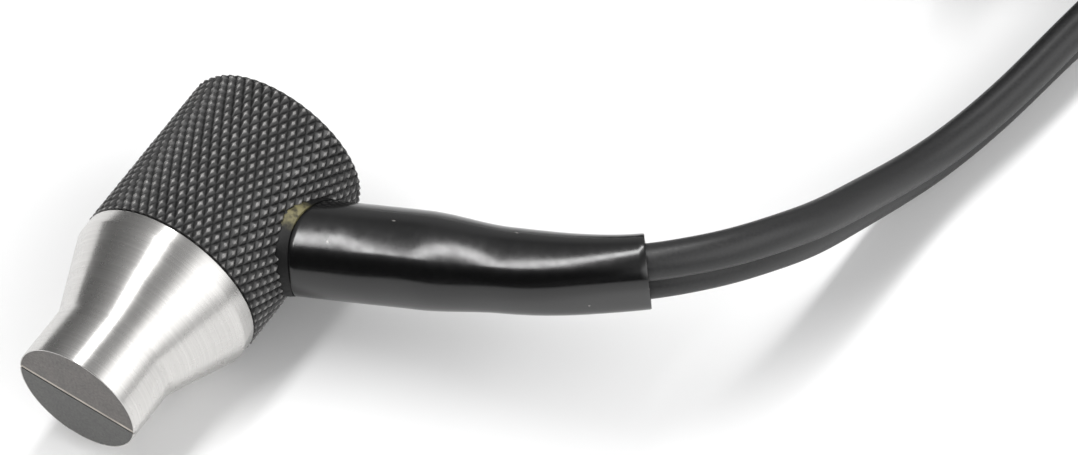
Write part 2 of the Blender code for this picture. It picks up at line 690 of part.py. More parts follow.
def build_split(parts, finishes):
    """The short sleeve over the place where the lead parts into two tails, and the tails."""
    route = np.array(in_frame(FAR_ROUTE))
    ahead = (route[-1] - route[-2]) / np.linalg.norm(route[-1] - route[-2])
    middle = route[-1] + ahead * GAP
    shares = np.linspace(-SPLIT_OVER_LEAD, 1.0 - SPLIT_OVER_LEAD, 5)
    line = np.array([middle + ahead * share * SPLIT_LENGTH for share in shares])
    thick = 2 * CORE_RADIUS + CAST_GAP + GAP + SPLIT_WALL
    halves = [(thick, thick)] * len(line)
    sleeve = lofted("split_sleeve", line, halves, SLEEVE_SIDES, False, parts, finishes["shrink"])
    walled(sleeve, SPLIT_WALL)
    for channel, lift in (("transmit", 1.0), ("receive", -1.0)):
        x, y = PLUG_PLACES[channel]
        height = PLUG_AXIS_HEIGHT / MM
        start = middle + ahead * 2 * GAP + np.array([0.0, 0.0, lift * (CORE_RADIUS + CAST_GAP)])
        into = [(x, y + GAP / MM, height), (x, y - TAIL_STRAIGHT, height)]
        into.append((x, y - (BOOT_LENGTH + NUT_LENGTH) / MM, height))
        line = smooth_route([start] + in_frame(TAIL_ROUTES[channel] + into), TUBE_STEP)
        tube("tail_" + channel, line, CORE_RADIUS, parts, finishes["jacket"])


def build_plug(channel, parts, finishes):
    """One push-pull plug: its height runs from the boot's rear end to the barrel's front."""
    x, y = PLUG_PLACES[channel]
    location = (HEAD_X + x * MM, JOINT_Y + y * MM, PLUG_AXIS_HEIGHT)
    plug = empty("plug_axis_" + channel, location, (math.pi / 2, 0.0, 0.0), parts)

    rear = BOOT_BORE + BOOT_WALL
    flare = rear + BOOT_FLARE
    outline = [(flare, BOOT_LENGTH), (flare, BOOT_LENGTH * BOOT_FLARE_PLACE), (rear, 0.0)]
    outline += [(BOOT_BORE, 0.0), (BOOT_BORE, BOOT_LENGTH)]
    turned("boot_" + channel, outline, parts, plug, finishes["boot"])

    top = NUT + NUT_LENGTH
    outline = [(NUT_RADIUS, top), (NUT_RADIUS, NUT + NUT_EDGE), (NUT_RADIUS - NUT_EDGE, NUT)]
    outline += [(BOOT_BORE, NUT), (BOOT_BORE, top)]
    turned("collet_nut_" + channel, outline, parts, plug, finishes["plug_metal"])

    outline = tube_outline(PLUG_BARREL_RADIUS, PLUG_BARREL_BORE, top + CAST_GAP, BARREL_END)
    turned("plug_barrel_" + channel, outline, parts, plug, finishes["plug_metal"])

    inner = RELEASE_RADIUS - RELEASE_WALL
    edge = RELEASE_RADIUS - RELEASE_EDGE
    end = RELEASE + RELEASE_LENGTH
    outline = [(edge, end), (RELEASE_RADIUS, end - RELEASE_EDGE), (RELEASE_RADIUS, RELEASE + RELEASE_EDGE)]
    outline += [(edge, RELEASE), (inner, RELEASE), (inner, end)]
    turned("release_sleeve_" + channel, outline, parts, plug, finishes["plug_metal"])

    low = end + GAP
    seat = PLUG_BARREL_RADIUS + CAST_GAP
    rim = seat + LATCH_WALL
    outline = [(rim - LATCH_WALL / 2, low + LATCH_LENGTH), (rim, low + LATCH_LENGTH * LATCH_TAPER)]
    outline += [(rim, low), (seat, low), (seat, low + LATCH_LENGTH)]
    turned("latch_ring_" + channel, outline, parts, plug, finishes["plug_metal"])

    rim = PLUG_BARREL_BORE - CAST_GAP
    hole = CONTACT_RADIUS + CAST_GAP
    outline = tube_outline(rim, hole, RELEASE + INSULATOR_BEHIND, BARREL_END - INSULATOR_RECESS)
    turned("plug_insulator_" + channel, outline, parts, plug, finishes["insulator"])
    tip = BARREL_END - CONTACT_RECESS
    outline = [(0.0, tip), (CONTACT_RADIUS / 2, tip), (CONTACT_RADIUS, tip - CONTACT_POINT)]
    outline += [(CONTACT_RADIUS, RELEASE), (0.0, RELEASE)]
    turned("centre_contact_" + channel, outline, parts, plug, finishes["gold"])


def main():
    clear_scene()
    parts = new_collection("thickness_probe")
    cutters = new_collection("cutters")
    finishes = {
        "metal": finish("turned_steel", (0.78, 0.77, 0.75), 0.22, 1.0),
        "black_metal": finish("black_oxide_metal", (0.035, 0.035, 0.038), 0.38, 0.6),
        "delay": finish("delay_resin", (0.16, 0.155, 0.15), 0.45),
        "ceramic": finish("piezo_ceramic", (0.62, 0.55, 0.42), 0.5),
        "resin": finish("loaded_resin", (0.09, 0.08, 0.08), 0.6),
        "cork": finish("barrier_cork", (0.62, 0.52, 0.38), 0.8),
        "copper": finish("tinned_copper", (0.72, 0.45, 0.3), 0.35, 1.0),
        "brass": finish("shield_brass", (0.75, 0.6, 0.3), 0.35, 1.0),
        "board": finish("terminal_board", (0.08, 0.25, 0.12), 0.5),
        "rubber": finish("seal_rubber", (0.02, 0.02, 0.02), 0.6),
        "glue": finish("amber_adhesive", (0.62, 0.52, 0.3), 0.25),
        "shrink": finish("heat_shrink", (0.012, 0.012, 0.013), 0.16),
        "jacket": finish("lead_jacket", (0.02, 0.02, 0.021), 0.42),
        "tie": finish("tie_strap", (0.03, 0.03, 0.03), 0.7),
        "boot": finish("boot_rubber", (0.02, 0.02, 0.02), 0.5),
        "plug_metal": finish("satin_nickel", (0.7, 0.69, 0.66), 0.3, 1.0),
        "insulator": finish("plug_insulator", (0.85, 0.83, 0.76), 0.4),
        "gold": finish("gold_contact", (0.9, 0.7, 0.35), 0.25, 1.0),
    }
    probe = empty("probe_axis", (HEAD_X, JOINT_Y, BODY_RADIUS), (-math.pi / 2, 0.0, 0.0), parts)
    turn = (0.0, math.pi / 2 - EXIT_ROLL, EXIT_YAW)
    outlet = empty("exit_axis", (HEAD_X, JOINT_Y + EXIT_PLACE, BODY_RADIUS), turn, parts)
    build_nose(parts, probe, finishes["metal"], finishes["rubber"])
    build_stack(parts, probe, finishes)
    build_cap(parts, cutters, probe, outlet, finishes)
    build_exit(parts, cutters, probe, outlet, finishes)
    build_core_wires(parts, finishes)
    build_lead(parts, finishes)
    build_split(parts, finishes)
    for channel in PLUG_PLACES:
        build_plug(channel, parts, finishes)


main()
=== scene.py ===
"""Looks of a twin-element ultrasonic thickness-gauge probe with its potted twin lead and two plugs.

The probe lies on its knurled side, contact face towards -Y, and its lead leaves to +X.  Lengths are in
metres.  Shapes are grids of points worked out with numpy: a row of a grid runs once round its piece, and
the rows follow one another along it.
"""

import logging
import math
from collections.abc import Callable
from dataclasses import dataclass, field
from enum import Enum

import bpy
import numpy as np
from mathutils import Matrix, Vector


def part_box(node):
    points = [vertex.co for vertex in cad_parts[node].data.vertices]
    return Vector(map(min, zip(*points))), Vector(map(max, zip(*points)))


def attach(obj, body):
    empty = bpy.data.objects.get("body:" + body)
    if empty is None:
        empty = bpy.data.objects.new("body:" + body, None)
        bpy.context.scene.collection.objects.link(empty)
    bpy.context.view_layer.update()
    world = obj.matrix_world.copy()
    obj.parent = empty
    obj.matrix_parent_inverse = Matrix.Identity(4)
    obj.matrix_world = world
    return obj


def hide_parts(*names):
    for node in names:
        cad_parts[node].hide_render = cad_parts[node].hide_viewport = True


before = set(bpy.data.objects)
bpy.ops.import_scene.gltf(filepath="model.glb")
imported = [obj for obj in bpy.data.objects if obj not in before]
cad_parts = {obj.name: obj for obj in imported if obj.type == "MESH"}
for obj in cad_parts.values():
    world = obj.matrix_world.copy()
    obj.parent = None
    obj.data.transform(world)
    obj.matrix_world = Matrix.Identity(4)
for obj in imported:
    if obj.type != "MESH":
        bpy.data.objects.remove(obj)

Array = np.ndarray
Socket = bpy.types.NodeSocket
Triple = tuple[float, float, float]
MM = 0.001
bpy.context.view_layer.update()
LOG = logging.getLogger("thickness_probe")
SAME_POINT = 1e-8  # a row that is smaller than this all over is one vertex
TURN = 2 * math.pi
UP = np.array([0.0, 0.0, 1.0])


class Body(Enum):
    """The bodies that a piece can ride on."""

    PROBE = "probe"
    RELEASE_TRANSMIT = "release_transmit"
    RELEASE_RECEIVE = "release_receive"


class Channel(Enum):
    """The two sides of the twin probe, each with its own element, wire, tail and plug."""

    TRANSMIT = "transmit"
    RECEIVE = "receive"

    @property
    def release(self) -> Body:
        """The body of this channel's release sleeve."""
        return Body("release_" + self.value)


# --- shapes ---------------------------------------------------------------------------------------


def unit(vector: Array) -> Array:
    """A vector, or each row of an array of them, scaled to length one."""
    return vector / np.linalg.norm(vector, axis=-1, keepdims=True)


def ease(value: Array) -> Array:
    """A smooth step: 3 t squared minus 2 t cubed, with t kept between 0 and 1."""
    t = np.clip(value, 0.0, 1.0)
    return t * t * (3.0 - 2.0 * t)


@dataclass(frozen=True)
class Stand:
    """The axis that a turned piece is built on: heights run along it, and angles start at its side.

    Attributes:
        foot: Where height is zero.
        axis: Unit direction of height.
        side: Unit direction of angle zero, square to the axis.
    """

    foot: Array
    axis: Array
    side: Array

    @property
    def third(self) -> Array:
        """The direction of a quarter turn."""
        return np.cross(self.axis, self.side)

    def at(self, across: Array, up: Array, height: Array) -> Array:
        """Points from their distances along the side, the quarter turn and the axis.

        Args:
            across: Distances along the side.
            up: Distances along the quarter turn.
            height: Distances along the axis.

        Returns:
            The points, with one more dimension of three.
        """
        parts = np.broadcast_arrays(across, up, height)
        ways = (self.side, self.third, self.axis)
        return self.foot + sum(part[..., None] * way for part, way in zip(parts, ways))

    def turn(self, radius: Array, angle: Array, height: Array) -> Array:
        """Points at a radius and an angle about the axis: radius times cosine, radius times sine."""
        return self.at(radius * np.cos(angle), radius * np.sin(angle), height)


def skin(
    name: str,
    rows: Array,
    loop: bool = False,
    slant: Array | None = None,
    marks: dict[str, Array] | None = None,
    sharp: float = 40.0,
) -> bpy.types.Object:
    """A closed surface through a grid of points, as triangles that face outwards.

    Each cell joins two neighbouring points of a row to the same two of the next row, and the last column
    is joined to the first.  A row whose points coincide is one vertex.  The UV map holds the share of a
    turn in u and the length along the rows in v, in metres.  The volume is the sum of the triangles'
    triple products over six, and where it is negative every triangle is turned round.

    Args:
        name: The piece's name.
        rows: Points, as rows by columns by three.
        loop: Whether the last row is joined to the first.
        slant: For each cell, whether it is split along its other diagonal.
        marks: Values to keep on the points, each rows by columns, as attributes of those names.
        sharp: Edges at more than this angle, in degrees, are shaded sharp.

    Returns:
        The new object, linked to the scene.
    """
    count, around = rows.shape[:2]
    index = np.arange(count * around).reshape(count, around)
    pole = np.ptp(rows, axis=1).max(axis=1) < SAME_POINT
    index[pole] = index[pole][:, :1]
    low = np.arange(count if loop else count - 1)
    high = (low + 1) % count
    right = (np.arange(around) + 1) % around
    cells = np.stack([index[low], index[low][:, right], index[high][:, right], index[high]], -1)
    step = np.linalg.norm(np.diff(rows, axis=0, append=rows[:1]), axis=2).mean(axis=1)
    length = np.concatenate([[0.0], np.cumsum(step)])
    u = np.arange(around)[None, :, None] + np.array([0, 1, 1, 0])
    v = np.stack([length[low], length[low], length[low + 1], length[low + 1]], -1)[:, None, :]
    maps = np.stack(np.broadcast_arrays(u / around, v), -1)
    split = np.zeros(cells.shape[:2], bool) if slant is None else slant
    first = np.where(split[..., None], [0, 1, 3], [0, 1, 2])
    second = np.where(split[..., None], [1, 2, 3], [0, 2, 3])
    corners = np.stack([first, second], 2)
    faces = np.take_along_axis(cells[:, :, None, :], corners, 3).reshape(-1, 3)
    maps = np.take_along_axis(maps[:, :, None, :, :], corners[..., None], 3).reshape(-1, 3, 2)
    whole = (faces[:, 0] != faces[:, 1]) & (faces[:, 1] != faces[:, 2]) & (faces[:, 2] != faces[:, 0])
    faces, maps = faces[whole], maps[whole]
    points = rows.reshape(-1, 3)
    a, b, c = (points[faces[:, i]] - points.mean(axis=0) for i in range(3))
    if np.einsum("ij,ij->", a, np.cross(b, c)) < 0.0:
        faces, maps = faces[:, ::-1], maps[:, ::-1]
    used, faces = np.unique(faces, return_inverse=True)
    mesh = bpy.data.meshes.new(name)
    mesh.from_pydata(points[used].tolist(), [], faces.reshape(-1, 3).tolist())
    mesh.uv_layers.new(name="UVMap").data.foreach_set("uv", np.ascontiguousarray(maps, np.float32).ravel())
    for mark, values in (marks or {}).items():
        kept = np.ascontiguousarray(values.reshape(-1)[used], np.float32)
        mesh.attributes.new(mark, "FLOAT", "POINT").data.foreach_set("value", kept)
    mesh.shade_smooth()
    mesh.set_sharp_from_angle(angle=math.radians(sharp))
    piece = bpy.data.objects.new(name, mesh)
    bpy.context.scene.collection.objects.link(piece)
    return piece


def eased(corners: list[Triple], closed: bool = True, steps: int = 5) -> Array:
    """A profile whose corners are rounded off.

    Each corner is (radius, height, ease).  A corner becomes the parabola that leaves the line before it
    at the ease's distance, and meets the line after it at the same distance: the quadratic Bezier curve
    with the corner as its middle point.

    Args:
        corners: The profile's corners in order, in metres.
        closed: Whether the last corner is joined to the first.
        steps: Points in each rounded corner, less one.

    Returns:
        The profile's points, as (radius, height).
    """
    points = np.array([c[:2] for c in corners])
    before = np.roll(points, 1, axis=0) - points
    after = np.roll(points, -1, axis=0) - points
    profile = []
    for i, (corner, _, distance) in enumerate(corners):
        if distance == 0.0 or (not closed and i in (0, len(corners) - 1)):
            profile.append(points[i : i + 1])
            continue
        start = points[i] + unit(before[i]) * distance
        end = points[i] + unit(after[i]) * distance
        t = np.linspace(0.0, 1.0, steps)[:, None]
        profile.append((1 - t) ** 2 * start + 2 * t * (1 - t) * points[i] + t**2 * end)
    return np.concatenate(profile)


def turned(
    name: str,
    stand: Stand,
    profile: Array,
    sides: int = 128,
    closed: bool = True,
    relief: Callable[[Array, Array], Array] | None = None,
) -> bpy.types.Object:
    """A turned piece: each point of the profile, carried round the stand's axis at its own radius.

    Args:
        name: The piece's name.
        stand: The axis.
        profile: Points as (radius, height).
        sides: How many columns go round.
        closed: Whether the profile closes on itself; if not, it starts and ends on the axis.
        relief: Gives what to add to the radius from the height and the angle.

    Returns:
        The new object.
    """
    angle = np.linspace(0.0, TURN, sides, endpoint=False)[None, :]
    radius, height = profile[:, :1], profile[:, 1:]
    if relief is not None:
        radius = radius + relief(height, angle)
    return skin(name, stand.turn(radius, angle, height), loop=closed)


def smooth_route(points: Array, spacing: float) -> Array:
    """Points at an even spacing on the natural cubic spline through the given points.

    The spline's second derivatives solve the usual three-diagonal system, in which each inner knot's
    change of slope is what its two spans bend.

    Args:
        points: The route's own points.
        spacing: The distance between the points that are wanted.

    Returns:
        The spline's points.
    """
    steps = np.linalg.norm(np.diff(points, axis=0), axis=1)
    knots = np.concatenate([[0.0], np.cumsum(steps)])
    count = len(points)
    inner = np.arange(1, count - 1)
    system = np.eye(count)
    system[inner, inner - 1] = steps[:-1]
    system[inner, inner] = 2.0 * (steps[:-1] + steps[1:])
    system[inner, inner + 1] = steps[1:]
    slopes = np.diff(points, axis=0) / steps[:, None]
    change = np.zeros((count, 3))
    change[1:-1] = 6.0 * np.diff(slopes, axis=0)
    bend = np.linalg.solve(system, change)
    places = np.linspace(0.0, knots[-1], round(knots[-1] / spacing) + 1)
    part = np.clip(np.searchsorted(knots, places, side="right") - 1, 0, count - 2)
    step = steps[part][:, None]
    after = (places - knots[part])[:, None]
    before = step - after
    return (
        (bend[part] * before**3 + bend[part + 1] * after**3) / (6.0 * step)
        + (points[part] / step - bend[part] * step / 6.0) * before
        + (points[part + 1] / step - bend[part + 1] * step / 6.0) * after
    )


def lengths_along(line: Array) -> Array:
    """The length from a line's start to each of its points."""
    return np.concatenate([[0.0], np.cumsum(np.linalg.norm(np.diff(line, axis=0), axis=1))])


def stretch(line: Array, start: float, end: float, spacing: float) -> Array:
    """The part of a line between two lengths along it.

    Args:
        line: The line's points.
        start: Length at which the part starts.
        end: Length at which it ends.
        spacing: About how far apart its points are.

    Returns:
        The part's points.
    """
    lengths = lengths_along(line)
    places = np.linspace(start, end, round((end - start) / spacing) + 1)
    return np.stack([np.interp(places, lengths, line[:, i]) for i in range(3)], 1)


def carried(line: Array, across: Array, up: Array, lean: Array | float = 0.0) -> Array:
    """A section carried along a line: the middle plus across times its side plus up times its top.

    The top is the upright direction made square to the line, turned by the lean towards the right-hand
    side of someone who walks along the line.

    Args:
        line: The line's points.
        across: Sideways distances, one row for each point of the line or one row for all.
        up: Upward distances, likewise.
        lean: Angle of the top from the upright, in radians, for each point or for all.

    Returns:
        Points, as rows by columns by three.
    """
    along = unit(np.gradient(line, axis=0))
    top = unit(UP - along[:, 2:] * along)
    left = np.cross(top, along)
    lean = np.broadcast_to(lean, len(line))[:, None]
    leaning = np.cos(lean) * top - np.sin(lean) * left
    side = np.cross(leaning, along)
    return line[:, None] + across[..., None] * side[:, None] + up[..., None] * leaning[:, None]


def capped(line: Array, rows: Array) -> Array:
    """The rows of a carried section, closed at both ends on the line's own end points."""
    first, last = (np.broadcast_to(end, (1, *rows.shape[1:])) for end in (line[0], line[-1]))
    return np.concatenate([first, rows, last])


# --- materials ------------------------------------------------------------------------------------


class Shade:
    """A material under construction: its constant values sit on the shader's own sockets."""

    def __init__(self, name: str, colour: Triple, **values: float) -> None:
        """Starts a material.

        Args:
            name: The material's name.
            colour: Base colour.
            values: The shader's other constants, with spaces in their names as underscores.
        """
        self.material = bpy.data.materials.new(name)
        self.material.use_nodes = True
        self.tree = self.material.node_tree
        self.shader = self.tree.nodes["Principled BSDF"]
        self.shader.inputs["Base Color"].default_value = (*colour, 1.0)
        for socket, value in values.items():
            self.shader.inputs[socket.replace("_", " ")].default_value = value
        self.material.diffuse_color = (*colour, 1.0)

    def node(self, kind: str, inputs: dict, **settings: object) -> bpy.types.Node:
        """Adds a node.

        Args:
            kind: The node's type, without the part that all shader nodes share.
            inputs: For each input that is named, a value or another node's output.
            settings: The node's own choices.

        Returns:
            The node.
        """
        node = self.tree.nodes.new("ShaderNode" + kind)
        for key, value in settings.items():
            setattr(node, key, value)
        for key, value in inputs.items():
            if isinstance(value, Socket):
                self.tree.links.new(value, node.inputs[key])
            else:
                node.inputs[key].default_value = value
        return node

    def place(self, source: str = "Object", scale: Triple = (1.0, 1.0, 1.0)) -> Socket:
        """The socket of object or UV coordinates, stretched by a scale."""
        coordinates = self.node("TexCoord", {}).outputs[source]
        return self.node("Mapping", {"Vector": coordinates, "Scale": scale}).outputs[0]

    def noise(self, place: Socket, scale: float, detail: float = 3.0, rough: float = 0.5) -> Socket:
        """The socket of a noise's value at a place."""
        inputs = {"Vector": place, "Scale": scale, "Detail": detail, "Roughness": rough}
        return self.node("TexNoise", inputs).outputs[0]

    def mark(self, name: str) -> Socket:
        """The socket of a value that is kept on the piece's points."""
        return self.node("Attribute", {}, attribute_name=name).outputs["Fac"]

    def span(self, value: Socket, low: float, high: float, out_low: float, out_high: float) -> Socket:
        """The socket of a value moved from one span to another, and kept within it."""
        inputs = {"Value": value, "From Min": low, "From Max": high, "To Min": out_low, "To Max": out_high}
        return self.node("MapRange", inputs).outputs[0]

    def math(self, operation: str, first: Socket | float, second: Socket | float) -> Socket:
        """The socket of a sum, product or other operation on two values."""
        return self.node("Math", {0: first, 1: second}, operation=operation).outputs[0]

    def colours(self, value: Socket, stops: list[tuple[float, Triple]]) -> Socket:
        """A colour that runs through the stops as a value grows.

        Args:
            value: The value's socket.
            stops: Each stop's place from 0 to 1, and its colour.

        Returns:
            The colour's socket.
        """
        ramp = self.node("ValToRGB", {0: value})
        bar = ramp.color_ramp.elements
        for i, (position, colour) in enumerate(stops):
            stop = bar[i] if i < 2 else bar.new(position)
            stop.position = position
            stop.color = (*colour, 1.0)
        return ramp.outputs[0]

    def bump(self, height: Socket, strength: float, distance: float, under: Socket | None = None) -> Socket:
        """A normal that follows a height.

        Args:
            height: The height's socket.
            strength: Share of the bump that is used.
            distance: How far a height of one stands up, in metres.
            under: The normal of another bump, which this one adds to.

        Returns:
            The normal's socket.
        """
        inputs = {"Height": height, "Strength": strength, "Distance": distance}
        if under is not None:
            inputs["Normal"] = under
        return self.node("Bump", inputs).outputs[0]

    def use(self, socket: str, value: Socket) -> None:
        """Links a socket to one of the shader's inputs."""
        self.tree.links.new(value, self.shader.inputs[socket])


def shades(colour: Triple, change: float) -> list[tuple[float, Triple]]:
    """Three stops of a colour, from darker to lighter by a share of itself."""
    levels = ((0.3, 1.0 - change), (0.5, 1.0), (0.7, 1.0 + change))
    return [(place, tuple(min(1.0, c * level) for c in colour)) for place, level in levels]


@dataclass(frozen=True)
class Grain:
    """A plain finish with a fine grain: mottled in colour, uneven in gloss and slightly rough to touch.

    Attributes:
        name: The finish's name.
        colour: Its middle colour.
        roughness: Its middle roughness.
        metallic: One for metal, zero for the rest.
        size: Grains across a metre.
        depth: How far the grain stands up, in metres.
        mottle: How much lighter and darker the colour gets, as a share.
        coat: Weight of a clear glossy skin.
    """

    name: str
    colour: Triple
    roughness: float
    metallic: float = 0.0
    size: float = 3000.0
    depth: float = 0.01 * MM
    mottle: float = 0.15
    coat: float = 0.0

    def make(self) -> bpy.types.Material:
        """Builds the material.

        Returns:
            The material.
        """
        shade = Shade(self.name, self.colour, Metallic=self.metallic, Coat_Weight=self.coat)
        place = shade.place()
        fine = shade.noise(place, self.size)
        broad = shade.noise(place, self.size / 12.0)
        shade.use("Base Color", shade.colours(broad, shades(self.colour, self.mottle)))
        low, high = self.roughness * 0.85, min(1.0, self.roughness * 1.15)
        shade.use("Roughness", shade.span(fine, 0.3, 0.7, low, high))
        shade.use("Normal", shade.bump(fine, 0.6, self.depth))
        return shade.material


@dataclass(frozen=True)
class TurnedSteel:
    """Bright turned steel: fine rings cut by the tool, which draw each reflection out along the axis."""

    name: str = "turned_steel_finish"
    colour: Triple = (0.62, 0.61, 0.595)
    ring: float = 9000.0  # rings in a metre
    stretch: float = 0.8

    def make(self) -> bpy.types.Material:
        """Builds the material: rings along v, with a few broader ones that catch more light.

        Returns:
            The material.
        """
        shade = Shade(
            self.name, self.colour, Metallic=1.0, Anisotropic=self.stretch, Anisotropic_Rotation=0.25
        )
        rings = shade.noise(shade.place("UV", (0.6, self.ring, 1.0)), 1.0, 4.0, 0.7)
        broad = shade.noise(shade.place("UV", (1.0, self.ring / 14.0, 1.0)), 1.0, 2.0)
        scuffs = shade.noise(shade.place(), 700.0, 5.0)
        shade.use("Base Color", shade.colours(rings, shades(self.colour, 0.09)))
        shade.use("Roughness", shade.span(scuffs, 0.35, 0.7, 0.25, 0.31))
        under = shade.bump(broad, 0.3, 0.004 * MM)
        shade.use("Normal", shade.bump(rings, 0.35, 0.0035 * MM, under))
        tangent = shade.node("Tangent", {}, direction_type="UV_MAP", uv_map="UVMap")
        shade.use("Tangent", tangent.outputs[0])
        return shade.material


@dataclass(frozen=True)
class BlackKnurl:
    """Black oxide on steel, rubbed lighter on the knurl's points and dull in its grooves."""

    name: str = "black_knurl_finish"
    groove: Triple = (0.012, 0.012, 0.012)
    flank: Triple = (0.050, 0.049, 0.049)
    point: Triple = (0.24, 0.235, 0.23)

    def make(self) -> bpy.types.Material:
        """Builds the material from the height that is kept on the points and two noises.

        Returns:
            The material.
        """
        shade = Shade(self.name, self.flank, Metallic=0.35, Specular_IOR_Level=0.6)
        place = shade.place()
        fine = shade.noise(place, 6000.0, 4.0, 0.6)
        worn = shade.noise(place, 900.0, 3.0)
        height = shade.math("ADD", shade.mark("crest"), shade.span(fine, 0.3, 0.7, -0.10, 0.10))
        height = shade.math("ADD", height, shade.span(worn, 0.35, 0.65, -0.08, 0.08))
        stops = [(0.05, self.groove), (0.5, self.flank), (0.68, self.flank), (0.92, self.point)]
        shade.use("Base Color", shade.colours(height, stops))
        shade.use("Roughness", shade.span(height, 0.2, 1.0, 0.5, 0.32))
        shade.use("Normal", shade.bump(fine, 0.5, 0.012 * MM))
        return shade.material


@dataclass(frozen=True)
class LappedResin:
    """The contact face: grey resin rubbed flat, with fine scratches in every direction."""

    name: str
    colour: Triple

    def make(self) -> bpy.types.Material:
        """Builds the material: three sets of scratches, each a noise drawn out one way.

        Returns:
            The material.
        """
        shade = Shade(self.name, self.colour, Specular_IOR_Level=0.45)
        blotch = shade.noise(shade.place(), 900.0, 4.0, 0.6)
        coordinates = shade.node("TexCoord", {}).outputs["Object"]
        normal = None
        for angle, long in ((0.3, 90.0), (1.4, 140.0), (2.4, 110.0)):
            inputs = {"Vector": coordinates, "Rotation": (0.0, angle, 0.0), "Scale": (long, 1.0, 9000.0)}
            scratches = shade.noise(shade.node("Mapping", inputs).outputs[0], 1.0, 3.0)
            normal = shade.bump(scratches, 0.25, 0.004 * MM, normal)
        specks = shade.noise(coordinates, 5500.0, 2.0)
        tone = shade.math("MULTIPLY", shade.math("ADD", blotch, specks), 0.5)
        shade.use("Base Color", shade.colours(tone, shades(self.colour, 0.45)))
        shade.use("Roughness", shade.span(blotch, 0.3, 0.7, 0.42, 0.58))
        shade.use("Normal", normal)
        return shade.material


@dataclass(frozen=True)
class ShrunkSleeve:
    """Glossy black heat-shrink: slightly wavy where it has pulled tight, with a few specks of dust."""

    name: str = "heat_shrink_finish"
    colour: Triple = (0.004, 0.004, 0.0042)
    dust: Triple = (0.22, 0.21, 0.2)

    def make(self) -> bpy.types.Material:
        """Builds the material: long low waves, fine orange peel, and specks where a noise peaks.

        Returns:
            The material.
        """
        shade = Shade(self.name, self.colour, Specular_IOR_Level=0.65)
        place = shade.place()
        waves = shade.noise(shade.place("Object", (1.0, 1.6, 1.6)), 110.0, 1.0)
        peel = shade.noise(place, 1500.0, 2.0)
        dust = shade.span(shade.noise(place, 1300.0, 2.0, 0.4), 0.765, 0.79, 0.0, 1.0)
        shade.use("Base Color", shade.colours(dust, [(0.0, self.colour), (1.0, self.dust)]))
        shade.use("Roughness", shade.span(peel, 0.3, 0.7, 0.14, 0.20))
        under = shade.bump(waves, 0.10, 0.4 * MM)
        shade.use("Normal", shade.bump(peel, 0.12, 0.02 * MM, under))
        return shade.material


@dataclass(frozen=True)
class Jacket:
    """The lead's satin black jacket, with the faint lengthwise lines of its extrusion."""

    name: str = "lead_jacket_finish"
    colour: Triple = (0.016, 0.016, 0.0165)

    def make(self) -> bpy.types.Material:
        """Builds the material: lines along the lead from UV, and a fine grain over them.

        Returns:
            The material.
        """
        shade = Shade(self.name, self.colour, Specular_IOR_Level=0.5)
        lines = shade.noise(shade.place("UV", (60.0, 25.0, 1.0)), 1.0, 2.0)
        grain = shade.noise(shade.place(), 4500.0, 3.0)
        shade.use("Base Color", shade.colours(grain, shades(self.colour, 0.25)))
        shade.use("Roughness", shade.span(grain, 0.3, 0.7, 0.36, 0.48))
        under = shade.bump(lines, 0.3, 0.01 * MM)
        shade.use("Normal", shade.bump(grain, 0.35, 0.01 * MM, under))
        return shade.material


@dataclass(frozen=True)
class Adhesive:
    """Hardened hot-melt adhesive: nearly black where it is thin, amber where it has run out."""

    name: str = "adhesive_finish"
    dark: Triple = (0.004, 0.004, 0.004)
    amber: Triple = (0.20, 0.18, 0.09)

    def make(self) -> bpy.types.Material:
        """Builds the material from the share of amber that is kept on the points.

        Returns:
            The material.
        """
        shade = Shade(self.name, self.dark, Roughness=0.5, Specular_IOR_Level=0.3)
        lumps = shade.noise(shade.place(), 1800.0, 3.0)
        share = shade.math("MULTIPLY", shade.mark("amber"), shade.span(lumps, 0.35, 0.6, 0.3, 1.0))
        shade.use("Base Color", shade.colours(share, [(0.15, self.dark), (0.8, self.amber)]))
        shade.use("Normal", shade.bump(lumps, 0.4, 0.05 * MM))
        return shade.material


@dataclass(frozen=True)
class Hooked:
    """The coil's strap: black tape with a dense pile of small loops."""

    name: str = "strap_finish"
    colour: Triple = (0.02, 0.02, 0.021)
    tips: Triple = (0.045, 0.045, 0.047)

    def make(self) -> bpy.types.Material:
        """Builds the material: cells of a Voronoi pattern stand for the loops.

        Returns:
            The material.
        """
        shade = Shade(self.name, self.colour, Roughness=0.85, Sheen_Weight=0.4)
        cells = shade.node("TexVoronoi", {"Vector": shade.place(), "Scale": 3200.0}).outputs[0]
        shade.use("Base Color", shade.colours(cells, [(0.0, self.tips), (0.8, self.colour)]))
        shade.use("Normal", shade.bump(cells, 0.8, -0.12 * MM))
        return shade.material


Finish = Grain | TurnedSteel | BlackKnurl | LappedResin | ShrunkSleeve | Jacket | Adhesive | Hooked


@dataclass
class Finishes:
    """Every finish of the object, made once and shared by the pieces that have it."""

    made: dict[str, bpy.types.Material] = field(default_factory=dict)

    def get(self, finish: Finish) -> bpy.types.Material:
        """The material of a finish, built when it is first asked for.

        Args:
            finish: The finish.

        Returns:
            Its material.
        """
        if finish.name not in self.made:
            self.made[finish.name] = finish.make()
        return self.made[finish.name]

    def dress(
        self, piece: bpy.types.Object, finish: Finish, body: Body, slot: str, nodes: tuple[str, ...] = ()
    ) -> bpy.types.Object:
        """Gives a new piece its material, its body and the nodes that it stands for.

        Args:
            piece: The piece.
            finish: One of the finish classes above.
            body: The body that it rides on.
            slot: The record's material slot; not used.
            nodes: The solids that it replaces.

        Returns:
            The same piece.
        """
        piece.data.materials.append(self.get(finish))
        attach(piece, body.value)
        if nodes:
            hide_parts(*nodes)
        LOG.info("%s: %d triangles", piece.name, len(piece.data.polygons))
        return piece


